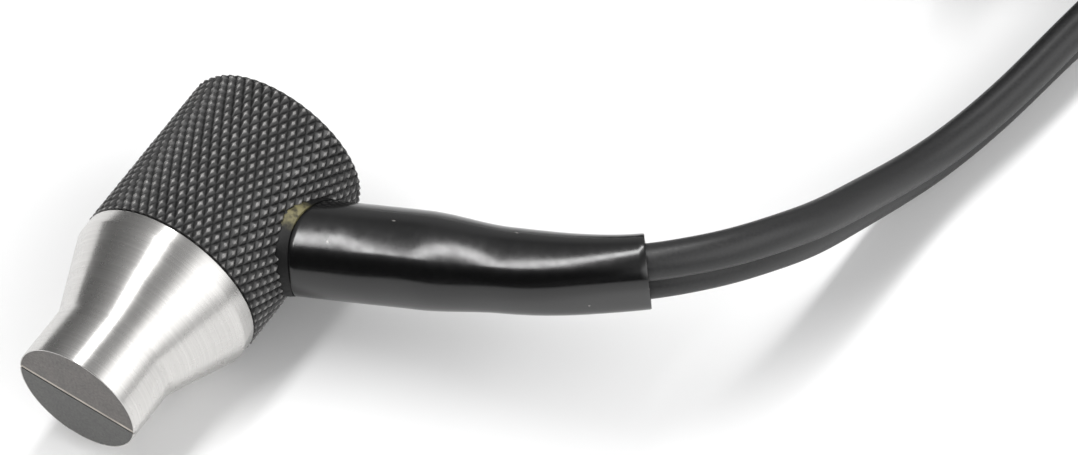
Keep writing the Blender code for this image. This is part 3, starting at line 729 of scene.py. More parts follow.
NICKEL = Grain("satin_nickel_finish", (0.70, 0.68, 0.64), 0.24, 1.0, 5000.0, 0.002 * MM, 0.06)
BOOT = Grain("boot_rubber_finish", (0.018, 0.018, 0.019), 0.5, 0.0, 4000.0, 0.01 * MM, 0.2)
GOLD = Grain("gold_finish", (0.90, 0.68, 0.32), 0.2, 1.0, 5000.0, 0.002 * MM, 0.05)
INSULATOR = Grain("insulator_finish", (0.82, 0.80, 0.73), 0.4, 0.0, 3000.0, 0.004 * MM, 0.05)
CORK = Grain("barrier_cork_finish", (0.58, 0.53, 0.47), 0.7, 0.0, 9000.0, 0.01 * MM, 0.25)

CERAMIC = Grain("ceramic_finish", (0.62, 0.55, 0.42), 0.5, 0.0, 8000.0, 0.003 * MM)
LOADED_RESIN = Grain("loaded_resin_finish", (0.09, 0.08, 0.08), 0.6, 0.0, 2500.0, 0.02 * MM)
TINNED_WIRE = Grain("tinned_wire_finish", (0.75, 0.70, 0.64), 0.3, 1.0, 6000.0, 0.002 * MM)
FERRULE = Grain("ferrule_finish", (0.72, 0.70, 0.66), 0.3, 1.0, 5000.0, 0.002 * MM)

# Solids that stay as they are, with their finishes.
KEPT = {
    "joint_seal": Grain("seal_rubber_finish", (0.02, 0.02, 0.02), 0.6, 0.0, 5000.0, 0.006 * MM),
    "crystal_transmit": CERAMIC,
    "crystal_receive": CERAMIC,
    "backing_transmit": LOADED_RESIN,
    "backing_receive": LOADED_RESIN,
    "potting_block": LOADED_RESIN,
    "crystal_wire_transmit": TINNED_WIRE,
    "crystal_wire_receive": TINNED_WIRE,
    "signal_wire_transmit": TINNED_WIRE,
    "signal_wire_receive": TINNED_WIRE,
    "ground_wire": TINNED_WIRE,
    "shield_tube": Grain("shield_brass_finish", (0.75, 0.58, 0.28), 0.35, 1.0, 4000.0, 0.003 * MM),
    "terminal_board": Grain("board_finish", (0.07, 0.22, 0.11), 0.45, 0.0, 5000.0, 0.004 * MM),
    "exit_ferrule": FERRULE,
    "crimp_ring": FERRULE,
}


# --- the probe ------------------------------------------------------------------------------------


@dataclass
class Probe:
    """The round head: nose with its contact face, and the knurled cap.

    Heights run from the joint between nose and cap, negative towards the contact face.
    """

    finishes: Finishes
    radius: float = 7.15 * MM
    band_radius: float = 7.06 * MM
    band: float = 1.15 * MM
    cone: float = 5.7 * MM
    nose: float = 4.6 * MM
    nose_radius: float = 4.74 * MM
    chamfer: float = 0.06 * MM
    face_radius: float = 4.65 * MM
    delay: float = 7.8 * MM
    spigot_radius: float = 6.1 * MM
    spigot: float = 2.4 * MM
    spigot_bore: float = 5.0 * MM
    roll: float = math.radians(6.5)
    slit_top: float = 0.16 * MM  # the barrier's upper face
    slit_middle: float = -0.05 * MM  # its lower face
    slit_foot: float = -0.25 * MM  # the lower side of the open slit
    nick_depth: float = 0.3 * MM
    cap_wall: float = 0.85 * MM
    cap_end_wall: float = 1.4 * MM
    cap_edge: float = 0.35 * MM
    mouth: float = 0.1 * MM
    cap_length: float = 13.93 * MM
    starts: int = 56  # knurl lines round the cap, in each direction
    rows_of_points: int = 10  # knurl points along it
    finer: int = 4  # cells in half a knurl's pitch
    groove: float = 0.25 * MM
    worn: float = 0.82  # share of a point's height where it is rubbed flat
    plain: float = 0.62  # the height that smooth faces take their colour from

    def __post_init__(self) -> None:
        """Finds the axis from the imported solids."""
        low, high = (np.array(c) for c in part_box("knurled_cap"))
        joint = high[1] - self.cap_length
        foot = np.array([(low[0] + high[0]) / 2, joint, self.radius])
        self.stand = Stand(foot, np.array([0.0, 1.0, 0.0]), np.array([1.0, 0.0, 0.0]))
        self.face = -(self.band + self.cone + self.nose)

    def build(self) -> None:
        """Builds the nose, the two halves of the face, the barrier and the cap."""
        self.build_nose()
        self.build_halves()
        self.build_barrier()
        self.build_cap()

    def build_nose(self) -> None:
        """The nose housing: a turned profile, whose rim is nicked where the slit crosses it.

        Points on the rim move inwards along the axis where their distance from the slit's plane is less
        than half the slit.  Columns are added at the nick's edges, so that its sides are straight.
        """
        shoulder = self.face + self.delay + 0.1 * MM
        profile = eased([
            (self.spigot_radius, self.spigot, 0.15 * MM),
            (self.spigot_radius, 0.0, 0.0),
            (self.band_radius, 0.0, 0.06 * MM),
            (self.band_radius, -self.band, 0.10 * MM),
            (self.nose_radius, -self.band - self.cone, 0.28 * MM),
            (self.nose_radius, self.face, self.chamfer),
            (self.face_radius, self.face, 0.02 * MM),
            (self.face_radius, shoulder, 0.0),
            (self.spigot_bore, shoulder, 0.0),
            (self.spigot_bore, self.spigot, 0.0),
        ])
        middle = (self.slit_middle + self.slit_foot) / 2
        half = (self.slit_middle - self.slit_foot) / 2 / self.nose_radius
        nicks = self.across(np.array([0.0, math.pi]), np.array([middle, middle]))
        edges = np.concatenate([nick + np.array([-1.1, -1.0, 1.0, 1.1]) * half for nick in nicks])
        even = np.linspace(0.0, TURN, 240, endpoint=False)
        angle = np.sort(np.concatenate([even, edges % TURN]))
        away = np.abs((angle[:, None] - nicks[None, :] + math.pi) % TURN - math.pi).min(axis=1)
        in_nick = (away < 1.05 * half)[None, :]
        radius, height = profile[:, :1], profile[:, 1:]
        on_rim = (height < self.face + 1.5 * self.chamfer) & (radius > self.face_radius - 0.01 * MM)
        height = np.where(on_rim & in_nick, height + self.nick_depth, height)
        rows = self.stand.turn(radius, angle[None, :], height)
        piece = skin("nose_housing_turned", rows, loop=True, sharp=30.0)
        self.finishes.dress(piece, TurnedSteel(), Body.PROBE, "turned_steel", ("nose_housing",))

    def across(self, angle: Array, offset: Array) -> Array:
        """The angle on the stand of a place that lies at an offset above the rolled slit's plane."""
        lift = np.arcsin(offset / self.nose_radius) * np.cos(angle)
        return angle - lift + self.roll

    def rolled(self) -> Stand:
        """The stand turned so that its quarter-turn direction is square to the slit, pointing up."""
        c, s = math.cos(self.roll), math.sin(self.roll)
        return Stand(self.stand.foot, np.array([0.0, 1.0, 0.0]), np.array([-c, 0.0, s]))

    def build_halves(self) -> None:
        """The two resin delay lines: half-discs that are drawn out along the axis.

        The outline is an arc of the face's bore, and then the straight line between the arc's ends.  Its
        front edge is drawn in slightly, and each end closes on a point that lies a share of the radius
        above the slit.
        """
        stand = self.rolled()
        radius = self.face_radius - 0.015 * MM
        middle = 0.42 * radius
        back = self.face + self.delay - 0.4 * MM
        levels = (
            (0.0, self.face), (0.5, self.face), (0.995, self.face),
            (1.0, self.face + 0.03 * MM), (1.0, back), (0.0, back),
        )
        upper = LappedResin("lapped_resin_upper_finish", (0.138, 0.128, 0.121))
        lower = LappedResin("lapped_resin_lower_finish", (0.098, 0.098, 0.094))
        for channel, low, sign, finish in (
            (Channel.TRANSMIT, self.slit_top, 1.0, upper),
            (Channel.RECEIVE, -self.slit_foot, -1.0, lower),
        ):
            start = math.asin(low / radius)
            arc = np.linspace(start, math.pi - start, 65)
            flat = np.linspace(-1.0, 1.0, 41)[1:-1] * radius * math.cos(start)
            x = np.concatenate([radius * np.cos(arc), flat])
            y = np.concatenate([radius * np.sin(arc), np.full_like(flat, low)])
            rows = [
                stand.at(x * share, (middle + (y - middle) * share) * sign, height)
                for share, height in levels
            ]
            name = "delay_line_" + channel.value
            piece = skin(name + "_lapped", np.array(rows), sharp=30.0)
            self.finishes.dress(piece, finish, Body.PROBE, "delay_resin", (name,))

    def build_barrier(self) -> None:
        """The acoustic barrier: a thin strip that shows as a light line across the face.

        It is a box, as wide as the face at its front and narrower at its back, and each end closes on its
        own middle.
        """
        stand = self.rolled()
        wide, narrow, back = self.face_radius - 0.02 * MM, 3.8 * MM, 1.2 * MM
        x = np.array([-1.0, 1.0, 1.0, -1.0])
        y = np.array([self.slit_top - 0.005 * MM] * 2 + [self.slit_middle] * 2)
        middle = y.mean()
        levels = ((0, wide, self.face), (1, wide, self.face), (1, narrow, back), (0, narrow, back))
        rows = [
            stand.at(x * half * share, middle + (y - middle) * share, height)
            for share, half, height in levels
        ]
        piece = skin("acoustic_barrier_sheet", np.array(rows), sharp=30.0)
        self.finishes.dress(piece, CORK, Body.PROBE, "barrier_cork", ("acoustic_barrier",))

    def build_cap(self) -> None:
        """The knurled cap as one grid, from the middle of its floor out over the mouth to its closed end.

        The knurl's height is the smaller of two triangle waves, one along each set of slanting grooves:
        with a the angle in points and b the height in points, the waves are those of a + b and a - b.
        The grid's cells divide a point evenly, and each is split along the groove that crosses it, so the
        grooves and the points stay sharp.
        """
        per_point = 2 * self.finer
        columns = self.starts * per_point
        along = self.rows_of_points * per_point
        inner = self.radius - self.cap_wall
        floor = self.cap_length - self.cap_end_wall
        top = self.cap_length - self.cap_edge
        angle = np.arange(columns) / columns * TURN
        inside = np.array([
            (0.0, floor),
            (inner - 0.3 * MM, floor),
            (inner, floor - 0.3 * MM),
            (inner, self.mouth + 0.15 * MM),
            (inner + 0.12 * MM, self.mouth),
            (self.radius - self.groove - 0.05 * MM, self.mouth),
        ])
        heights = np.linspace(self.mouth + 0.04 * MM, top, along + 1)
        turn = np.linspace(0.0, math.pi / 2, 7)[1:]
        edge = np.stack([
            self.radius - self.cap_edge * (1 - np.cos(turn)), top + self.cap_edge * np.sin(turn)
        ], 1)
        lid = np.array([[radius * MM, self.cap_length] for radius in (6.3, 5.0, 2.5, 0.0)])
        radius = np.concatenate([inside[:, 0], np.full(along + 1, self.radius), edge[:, 0], lid[:, 0]])
        height = np.concatenate([inside[:, 1], heights, edge[:, 1], lid[:, 1]])
        first, last = len(inside), len(inside) + along
        knurled = np.zeros(len(radius))
        knurled[first : last + 1] = 1.0
        knurled[last + 1 : last + 1 + len(edge)] = np.linspace(0.9, 0.0, len(edge))
        knurled[first] = 0.6
        a = np.arange(columns)[None, :] / per_point
        b = (np.arange(len(radius)) - first)[:, None] / per_point
        waves = [np.abs(((w + 0.5) % 1.0) * 2.0 - 1.0) for w in (a + b, a - b)]
        crest = np.minimum(*waves)
        chance = np.random.default_rng(7)
        uneven = chance.normal(0.0, 1.0, (len(radius) // self.finer + 2, columns // self.finer))
        uneven = np.repeat(np.repeat(uneven, self.finer, axis=0)[: len(radius)], self.finer, axis=1)
        limit = self.worn + 0.05 * np.clip(uneven, -1.5, 1.5)
        crest = np.minimum(crest, limit) / self.worn
        crest = np.where(knurled[:, None] > 0.0, crest, self.plain)
        depth = self.groove * knurled[:, None] * (1.0 - np.clip(crest, 0.0, 1.03))
        rows = self.stand.turn(radius[:, None] - depth, angle[None, :], height[:, None])
        block = (np.arange(len(radius) - 1)[:, None] - first) // self.finer
        block = block + np.arange(columns)[None, :] // self.finer
        piece = skin("knurled_cap_cut", rows, slant=block % 2 == 1, marks={"crest": crest}, sharp=75.0)
        self.finishes.dress(piece, BlackKnurl(), Body.PROBE, "black_oxide_metal", ("knurled_cap",))


def boot_rear(channel: Channel) -> Array:
    """The middle of the rear end of a channel's boot, where its plug starts and its tail goes in.

    Args:
        channel: The plug's channel.

    Returns:
        The point.
    """
    low, high = (np.array(corner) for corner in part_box("boot_" + channel.value))
    return np.array([(low[0] + high[0]) / 2, high[1], (low[2] + high[2]) / 2])


# --- the lead -------------------------------------------------------------------------------------


@dataclass
class Lead:
    """The lead from the probe to its plugs: two cores side by side, that part into two round tails."""

    finishes: Finishes
    probe: Probe
    core: float = 1.33 * MM
    spacing: float = 2.5 * MM
    groove: float = 0.62 * MM  # from the middle to the bottom of the groove between the cores
    exit_place: float = 4.7 * MM
    exit_roll: float = math.radians(5.0)
    exit_yaw: float = math.radians(20.0)
    start: float = 3.3 * MM
    ferrule_tip: float = 10.55 * MM
    fine: float = 0.2 * MM
    coil_x: float = 14.0 * MM
    coil_y: float = 88.0 * MM
    coil_outer: float = 32.2 * MM
    turn_step: float = 2.7 * MM
    tie_radius: float = 27.75 * MM  # from the coil's middle to the tie's
    tie_middle: float = 6.15 * MM  # the tie's middle above the floor
    tie_reach: float = 12.3 * MM  # the tie's inner size across the turns, and upright
    tie_height: float = 11.1 * MM
    tie_corner: float = 1.5 * MM
    tie_thickness: float = 0.6 * MM
    tie_width: float = 4.0 * MM
    sleeve_wall: float = 0.43 * MM
    root_gap: float = 0.7 * MM
    root_radius: float = 3.5 * MM
    end_tall: float = 3.11 * MM
    middle_thick: float = 2.95 * MM
    end_thick: float = 2.21 * MM
    amber_angle: float = math.radians(86.0)
    sleeve_lean: float = math.radians(5.0)
    lower: float = 3.48 * MM
    upper: float = 8.68 * MM
    sleeve_route: tuple = (
        (14.88, 9.99, 8.75), (20.11, 11.55, 9.6), (24.18, 13.02, 10.3),
        (26.7, 14.18, 10.75), (29.32, 15.74, 11.1),
    )
    near_route: tuple = (
        (31.73, 17.81, 11.2), (33.53, 19.93, 10.95), (35.2, 22.9, 10.1), (36.5, 26.6, 8.45),
        (37.4, 31.0, 6.4), (38.3, 35.7, 4.4), (39.3, 40.2, 3.1), (40.3, 44.4, 2.7), (41.2, 48.8, 2.62),
        (42.0, 53.6, 2.62), (43.0, 59.0, 2.65), (44.0, 64.0, 2.8), (44.7, 67.6, 2.95), (45.4, 71.5, 3.15),
        (46.0, 79.0, 3.4),
    )
    far_route: tuple = (
        (43.1, 98.6, 8.68), (40.6, 107.5, 8.68), (35.6, 117.2, 8.3), (29.5, 121.6, 7.2), (20.4, 124.9, 5.5),
        (10.8, 126.0, 4.2), (4.5, 125.6, 3.65), (-1.0, 124.6, 3.5), (-6.0, 123.2, 3.5), (-10.0, 121.9, 3.5),
    )
    tail_routes: dict = field(default_factory=lambda: {
        Channel.TRANSMIT: (
            (-15.6, 120.3, 4.8), (-20.3, 119.1, 3.7), (-28.2, 114.0, 1.8), (-35.2, 105.0, 1.45),
            (-40.2, 96.0, 1.9), (-42.6, 90.0, 2.8),
        ),
        Channel.RECEIVE: (
            (-15.5, 119.8, 1.95), (-19.2, 117.2, 1.5), (-25.2, 111.0, 1.45), (-30.6, 103.6, 1.45),
            (-33.5, 94.6, 1.55), (-34.6, 86.0, 2.2),
        ),
    })

    def __post_init__(self) -> None:
        """Works out the lead's whole centreline, and where the sleeve ends on it."""
        self.foot = self.probe.stand.foot * np.array([1.0, 1.0, 0.0])
        straight = self.exit_point(np.linspace(self.start, self.ferrule_tip + 0.3 * MM, 5))
        sleeve = self.placed(self.sleeve_route)
        points = np.concatenate([
            straight, sleeve, self.placed(self.near_route), self.coil(), self.placed(self.far_route)
        ])
        self.line = smooth_route(points, self.fine)
        self.sleeve_end = lengths_along(self.line)[np.linalg.norm(self.line - sleeve[-1], axis=1).argmin()]

    def placed(self, route: tuple) -> Array:
        """Route points in metres in the row frame, from millimetres about the joint's foot."""
        return self.foot + np.array(route) * MM

    @property
    def exit_axis(self) -> Array:
        """The direction in which the lead leaves the cap."""
        c = math.cos(self.exit_roll)
        return np.array([c * math.cos(self.exit_yaw), c * math.sin(self.exit_yaw), math.sin(self.exit_roll)])

    def exit_point(self, distance: Array | float) -> Array:
        """Points on the exit's axis, at distances from the probe's axis."""
        foot = self.probe.stand.foot + np.array([0.0, self.exit_place, 0.0])
        return foot + np.asarray(distance)[..., None] * self.exit_axis

    def coil(self) -> Array:
        """The coil's turns, from east and round by north.

        The radius shrinks by a turn's step for three and a quarter turns on the lower layer, of which the
        last quarter climbs to the upper layer along a smooth step, and then grows by the same step.

        Returns:
            The centreline's points.
        """
        turns = np.arange(0.0, 6.03, 1.0 / 24.0)
        inward = self.coil_outer - self.turn_step * np.minimum(turns, 3.25)
        radius = inward + self.turn_step * np.maximum(turns - 3.25, 0.0)
        height = self.lower + (self.upper - self.lower) * ease((turns - 3.0) / 0.25)
        angle = TURN * turns
        middle = self.foot + np.array([self.coil_x, self.coil_y, 0.0])
        return middle + np.stack([radius * np.cos(angle), radius * np.sin(angle), height], 1)

    def section(self, columns: int = 40) -> tuple[Array, Array]:
        """The two merged round cores, as the outer edge of two circles with a soft groove between them.

        At an angle from the middle, each circle's edge lies at d times the cosine plus the root of the
        core's radius squared less d times the sine squared, with d half the spacing and the angle taken
        from the taller axis.  The edge nowhere comes closer to the middle than the groove's bottom.

        Args:
            columns: Points round the section.

        Returns:
            Sideways and upward distances.
        """
        d = self.spacing / 2
        share = np.linspace(-1.0, 1.0, columns // 2, endpoint=False)
        angle = share * math.pi / 2 * 0.985
        root = np.sqrt(np.maximum(self.core**2 - (d * np.sin(angle)) ** 2, 0.0))
        edge = np.maximum(d * np.cos(angle) + root, self.groove)
        x, y = edge * np.sin(angle), edge * np.cos(angle)
        return np.concatenate([x, -x]), np.concatenate([y, -y])

    def lean(self, line: Array) -> Array:
        """How far the lead leans along its length: it rises after the sleeve and dies out by the coil.

        Args:
            line: The lead's points.

        Returns:
            An angle for each point.
        """
        past = lengths_along(line) - self.sleeve_end
        rise = self.sleeve_lean * ease((past + 20 * MM) / (20 * MM))
        rise = rise + math.radians(11.0) * ease(past / (24 * MM))
        return rise * (1.0 - ease((past - 36 * MM) / (30 * MM)))

    def build(self) -> None:
        """Builds the lead, the sleeve and bead at its root, the coil's ties, the split and the tails."""
        plugs = {channel: Plug(self.finishes, channel).build() for channel in Channel}
        ties = [self.build_tie("coil_tie_near", 300.0), self.build_tie("coil_tie_far", 120.0)]
        split = self.build_split()
        self.build_cable()
        for channel in Channel:
            self.build_tail(channel)
        self.build_sleeve()
        self.build_bead()

    def build_cable(self) -> None:
        """The twin lead in one piece, from inside the cap to the split.
        """
        across, up = self.section()
        line = stretch(self.line, 0.0, lengths_along(self.line)[-1], 0.9 * MM)
        rows = carried(line, across[None, :], up[None, :], self.lean(line))
        cable = skin("twin_lead_cable", capped(line, rows), sharp=60.0)
        nodes = ("twin_lead_root", "twin_lead", "twin_lead_coil", "twin_lead_end")
        self.finishes.dress(cable, Jacket(), Body.PROBE, "lead_jacket", nodes)

    def build_tail(self, channel: Channel) -> None:
        """One round tail, from inside the split sleeve to its plug's collet nut.

        Args:
            channel: The tail's channel.
        """
        far = self.placed(self.far_route)
        ahead = unit(far[-1] - far[-2])
        lift = 1.0 if channel is Channel.TRANSMIT else -1.0
        start = far[-1] + ahead * 0.9 * MM + UP * lift * (self.core + 0.1 * MM)
        into = boot_rear(channel) + np.array([[0.0, 0.3, 0.0], [0.0, -6.0, 0.0], [0.0, -14.4, 0.0]]) * MM
        route = np.concatenate([start[None], self.placed(self.tail_routes[channel]), into])
        line = smooth_route(route, 0.6 * MM)
        angle = np.linspace(0.0, TURN, 24, endpoint=False)
        across, up = self.core * np.cos(angle), self.core * np.sin(angle)
        rows = carried(line, across[None, :], up[None, :])
        tail = skin("tail_cable_" + channel.value, capped(line, rows), sharp=60.0)
        self.finishes.dress(tail, Jacket(), Body.PROBE, "lead_jacket", ("tail_" + channel.value,))

    @property
    def exit_stand(self) -> Stand:
        """The exit's axis as a stand, whose quarter turn is the upright one.

        Returns:
            The stand.
        """
        axis = self.exit_axis
        top = unit(UP - axis[2] * axis)
        return Stand(self.exit_point(0.0), axis, np.cross(top, axis))

    def on_cap(self, across: Array, up: Array, inset: float) -> Array:
        """Heights along the exit's axis at which the cap's cylinder, drawn in by an inset, is met.

        With q a point's own place and a the axis, both taken square to the probe's axis, the height is the
        larger root d of |q + d a| squared = radius squared.

        Args:
            across: The points' sideways distances from the exit's axis.
            up: Their upward distances from it.
            inset: How far the cylinder is drawn in.

        Returns:
            A height for each point.
        """
        q = self.exit_stand.at(across, up, np.zeros_like(across))[:, [0, 2]] - self.probe.stand.foot[[0, 2]]
        a = self.exit_axis[[0, 2]]
        size, dot = a @ a, q @ a
        reach = (self.probe.radius - inset) ** 2 - np.einsum("ij,ij->i", q, q)
        return (-dot + np.sqrt(dot**2 + size * reach)) / size

    def build_sleeve(self) -> None:
        """The shrunk sleeve: round over the ferrule, then drawn in to a slot round the lead.

        Its root follows the cap a little way off.  The half sizes pass from the ferrule's round to the
        lead's slot along smooth steps, and the slot's ends are round: the upward distance is the thickness
        times the sine, plus the straight part times a steep hyperbolic tangent of the sine.
        """
        bend = self.ferrule_tip - self.start
        line = stretch(self.line, bend, self.sleeve_end, 0.35 * MM)
        root_rows = 14
        lengths = lengths_along(line)
        share = np.concatenate([np.zeros(root_rows), lengths / lengths[-1]])[:, None]
        neck, shut = ease((share - 0.24) / 0.30), ease((share - 0.5) / 0.5)
        tall = self.root_radius + (self.end_tall - self.root_radius) * neck
        thick = self.root_radius + (self.middle_thick - self.root_radius) * neck
        thick = thick + (self.end_thick - self.middle_thick) * shut
        angle = (np.arange(96) + 0.5) / 96 * TURN
        wave = 0.03 * MM * np.sin(share * 19.0 + 1.0) * np.cos(2 * angle) * (1.0 - share)
        stand = self.exit_stand

        def side(inset: float) -> Array:
            """One side of the wall, from the root to the open end.

            Args:
                inset: How far it lies within the outer side.

            Returns:
                The side's rows of points.
            """
            half_tall, half_thick = tall - inset, thick - inset + wave
            x = half_thick * np.cos(angle)
            y = half_thick * np.sin(angle) + (half_tall - half_thick) * np.tanh(6.0 * np.sin(angle))
            lean = self.sleeve_lean * ease(share[root_rows:, 0])
            bent = carried(line, x[root_rows:], y[root_rows:], lean)
            low = self.on_cap(x[0], y[0], 0.0) + self.root_gap
            steps = np.linspace(0.0, 1.0, root_rows, endpoint=False)[:, None]
            straight = stand.at(x[:root_rows], y[:root_rows], low * (1 - steps) + self.ferrule_tip * steps)
            return np.concatenate([straight, bent])

        wall, soft = self.sleeve_wall, 0.13 * MM
        insets = (0.0, wall, 0.3 * soft, wall - 0.3 * soft)
        outer, inner, lip_out, lip_in = (side(inset) for inset in insets)
        ahead = unit(line[-1] - line[-2])
        rows = np.concatenate([
            outer, lip_out[-1:] + ahead * soft, lip_in[-1:] + ahead * soft, inner[::-1],
            lip_in[:1] - stand.axis * soft, lip_out[:1] - stand.axis * soft,
        ])
        piece = skin("heat_shrink_sleeve_shrunk", rows, loop=True, sharp=60.0)
        self.finishes.dress(piece, ShrunkSleeve(), Body.PROBE, "heat_shrink", ("heat_shrink_sleeve",))

    def build_bead(self) -> None:
        """The adhesive squeezed out between the sleeve's root and the knurl, lighter at the top.

        Its outer edge is uneven by a sum of ten cosines of the angle with falling weights, and the amber
        share is a bell curve of the angle.
        """
        columns = 180
        angle = np.arange(columns) / columns * TURN
        chance = np.random.default_rng(11)
        lumps = sum(
            chance.normal() / waves * np.cos(waves * angle + chance.uniform(0.0, 6.0))
            for waves in range(2, 12)
        )
        amber = np.exp(-(((angle - self.amber_angle) / 0.3) ** 2))
        spread = (np.clip(0.10 + 0.06 * lumps, 0.02, 0.3) + 0.10 * amber) * MM
        bore = self.root_radius - self.sleeve_wall - 0.08 * MM
        stand = self.exit_stand

        def ring(radius: Array, above: float) -> Array:
            """A ring of points round the exit.

            Args:
                radius: The ring's radius, one for each angle or one for all.
                above: Its height above the cap, below the knurl's points.

            Returns:
                The ring's points.
            """
            radius = np.broadcast_to(radius, (columns,))
            x, y = radius * np.cos(angle), radius * np.sin(angle)
            return stand.at(x, y, self.on_cap(x, y, sunk) + above)

        sunk = self.probe.groove * 0.6
        edge = self.root_radius + spread
        gap = self.root_gap + sunk
        rows = np.array([
            ring(bore, gap + 0.5 * MM),
            ring(self.root_radius - self.sleeve_wall - 0.06 * MM, gap - 0.16 * MM),
            ring(self.root_radius - 0.05 * MM, gap - 0.16 * MM),
            ring(self.root_radius + 0.3 * spread, gap - 0.10 * MM),
            ring(self.root_radius + 0.75 * spread, 0.5 * gap),
            ring(edge, 0.05 * MM),
            ring(edge, -0.1 * MM),
            ring(bore, -0.1 * MM),
        ])
        marks = {"amber": np.broadcast_to(amber, rows.shape[:2])}
        piece = skin("adhesive_bead_squeezed", rows, loop=True, marks=marks, sharp=60.0)
        self.finishes.dress(piece, Adhesive(), Body.PROBE, "amber_adhesive", ("adhesive_bead",))

    def build_tie(self, name: str, degrees: float) -> bpy.types.Object:
        """A strap round the coil's turns: a flat band that follows a box with rounded corners.

        The box's corners are quarter circles, and the band's section is a rectangle with eased corners.

        Args:
            name: The solid's name.
            degrees: The tie's place round the coil.

        Returns:
            The strap.
        """
        corner, thick, half = self.tie_corner, self.tie_thickness, self.tie_width / 2
        quarter = np.linspace(0.0, math.pi / 2, 9)
        angles = np.concatenate([quarter + k * math.pi / 2 for k in range(4)])
        signs = np.repeat(np.array([(1, 1), (-1, 1), (-1, -1), (1, -1)]), 9, axis=0)
        centre = signs * (np.array([self.tie_reach, self.tie_height]) / 2 - corner)
        ring = np.stack([np.cos(angles), np.sin(angles)], 1)
        turn = math.radians(degrees)
        outward = np.array([math.cos(turn), math.sin(turn), 0.0])
        along = np.array([-math.sin(turn), math.cos(turn), 0.0])
        foot = self.foot + np.array([self.coil_x, self.coil_y, self.tie_middle]) + outward * self.tie_radius
        section = (
            (0.0, -0.9), (0.1, -1.0), (0.9, -1.0), (1.0, -0.9),
            (1.0, 0.9), (0.9, 1.0), (0.1, 1.0), (0.0, 0.9),
        )
        rows = []
        for out, sideways in section:
            flat = centre + ring * (corner + out * thick)
            rows.append(foot + flat[:, :1] * outward + flat[:, 1:] * UP + sideways * half * along)
        piece = skin(name + "_strap", np.array(rows), loop=True, sharp=60.0)
        return self.finishes.dress(piece, Hooked(), Body.PROBE, "tie_strap", (name,))

    def build_split(self) -> bpy.types.Object:
        """The short sleeve over the split: a plain tube, a little uneven where it shrank.

        Returns:
            The sleeve.
        """
        far = self.placed(self.far_route)
        ahead = unit(far[-1] - far[-2])
        middle = far[-1] + ahead * 0.3 * MM
        stand = Stand(middle - ahead * 7.2 * MM, ahead, unit(np.cross(ahead, UP)))
        outer, bore, length, soft = 3.41 * MM, 3.06 * MM, 12.0 * MM, 0.1 * MM
        profile = eased([(outer, 0.0, soft), (bore, 0.0, soft), (bore, length, soft), (outer, length, soft)])

        def waves(height: Array, angle: Array) -> Array:
            """One plus the cosine of twice the angle, times the square of a sine of the height."""
            return -0.05 * MM * (1 + np.cos(2 * angle)) * np.sin(height / length * 9.0) ** 2

        piece = turned("split_sleeve_shrunk", stand, profile, 64, relief=waves)
        return self.finishes.dress(piece, ShrunkSleeve(), Body.PROBE, "heat_shrink", ("split_sleeve",))


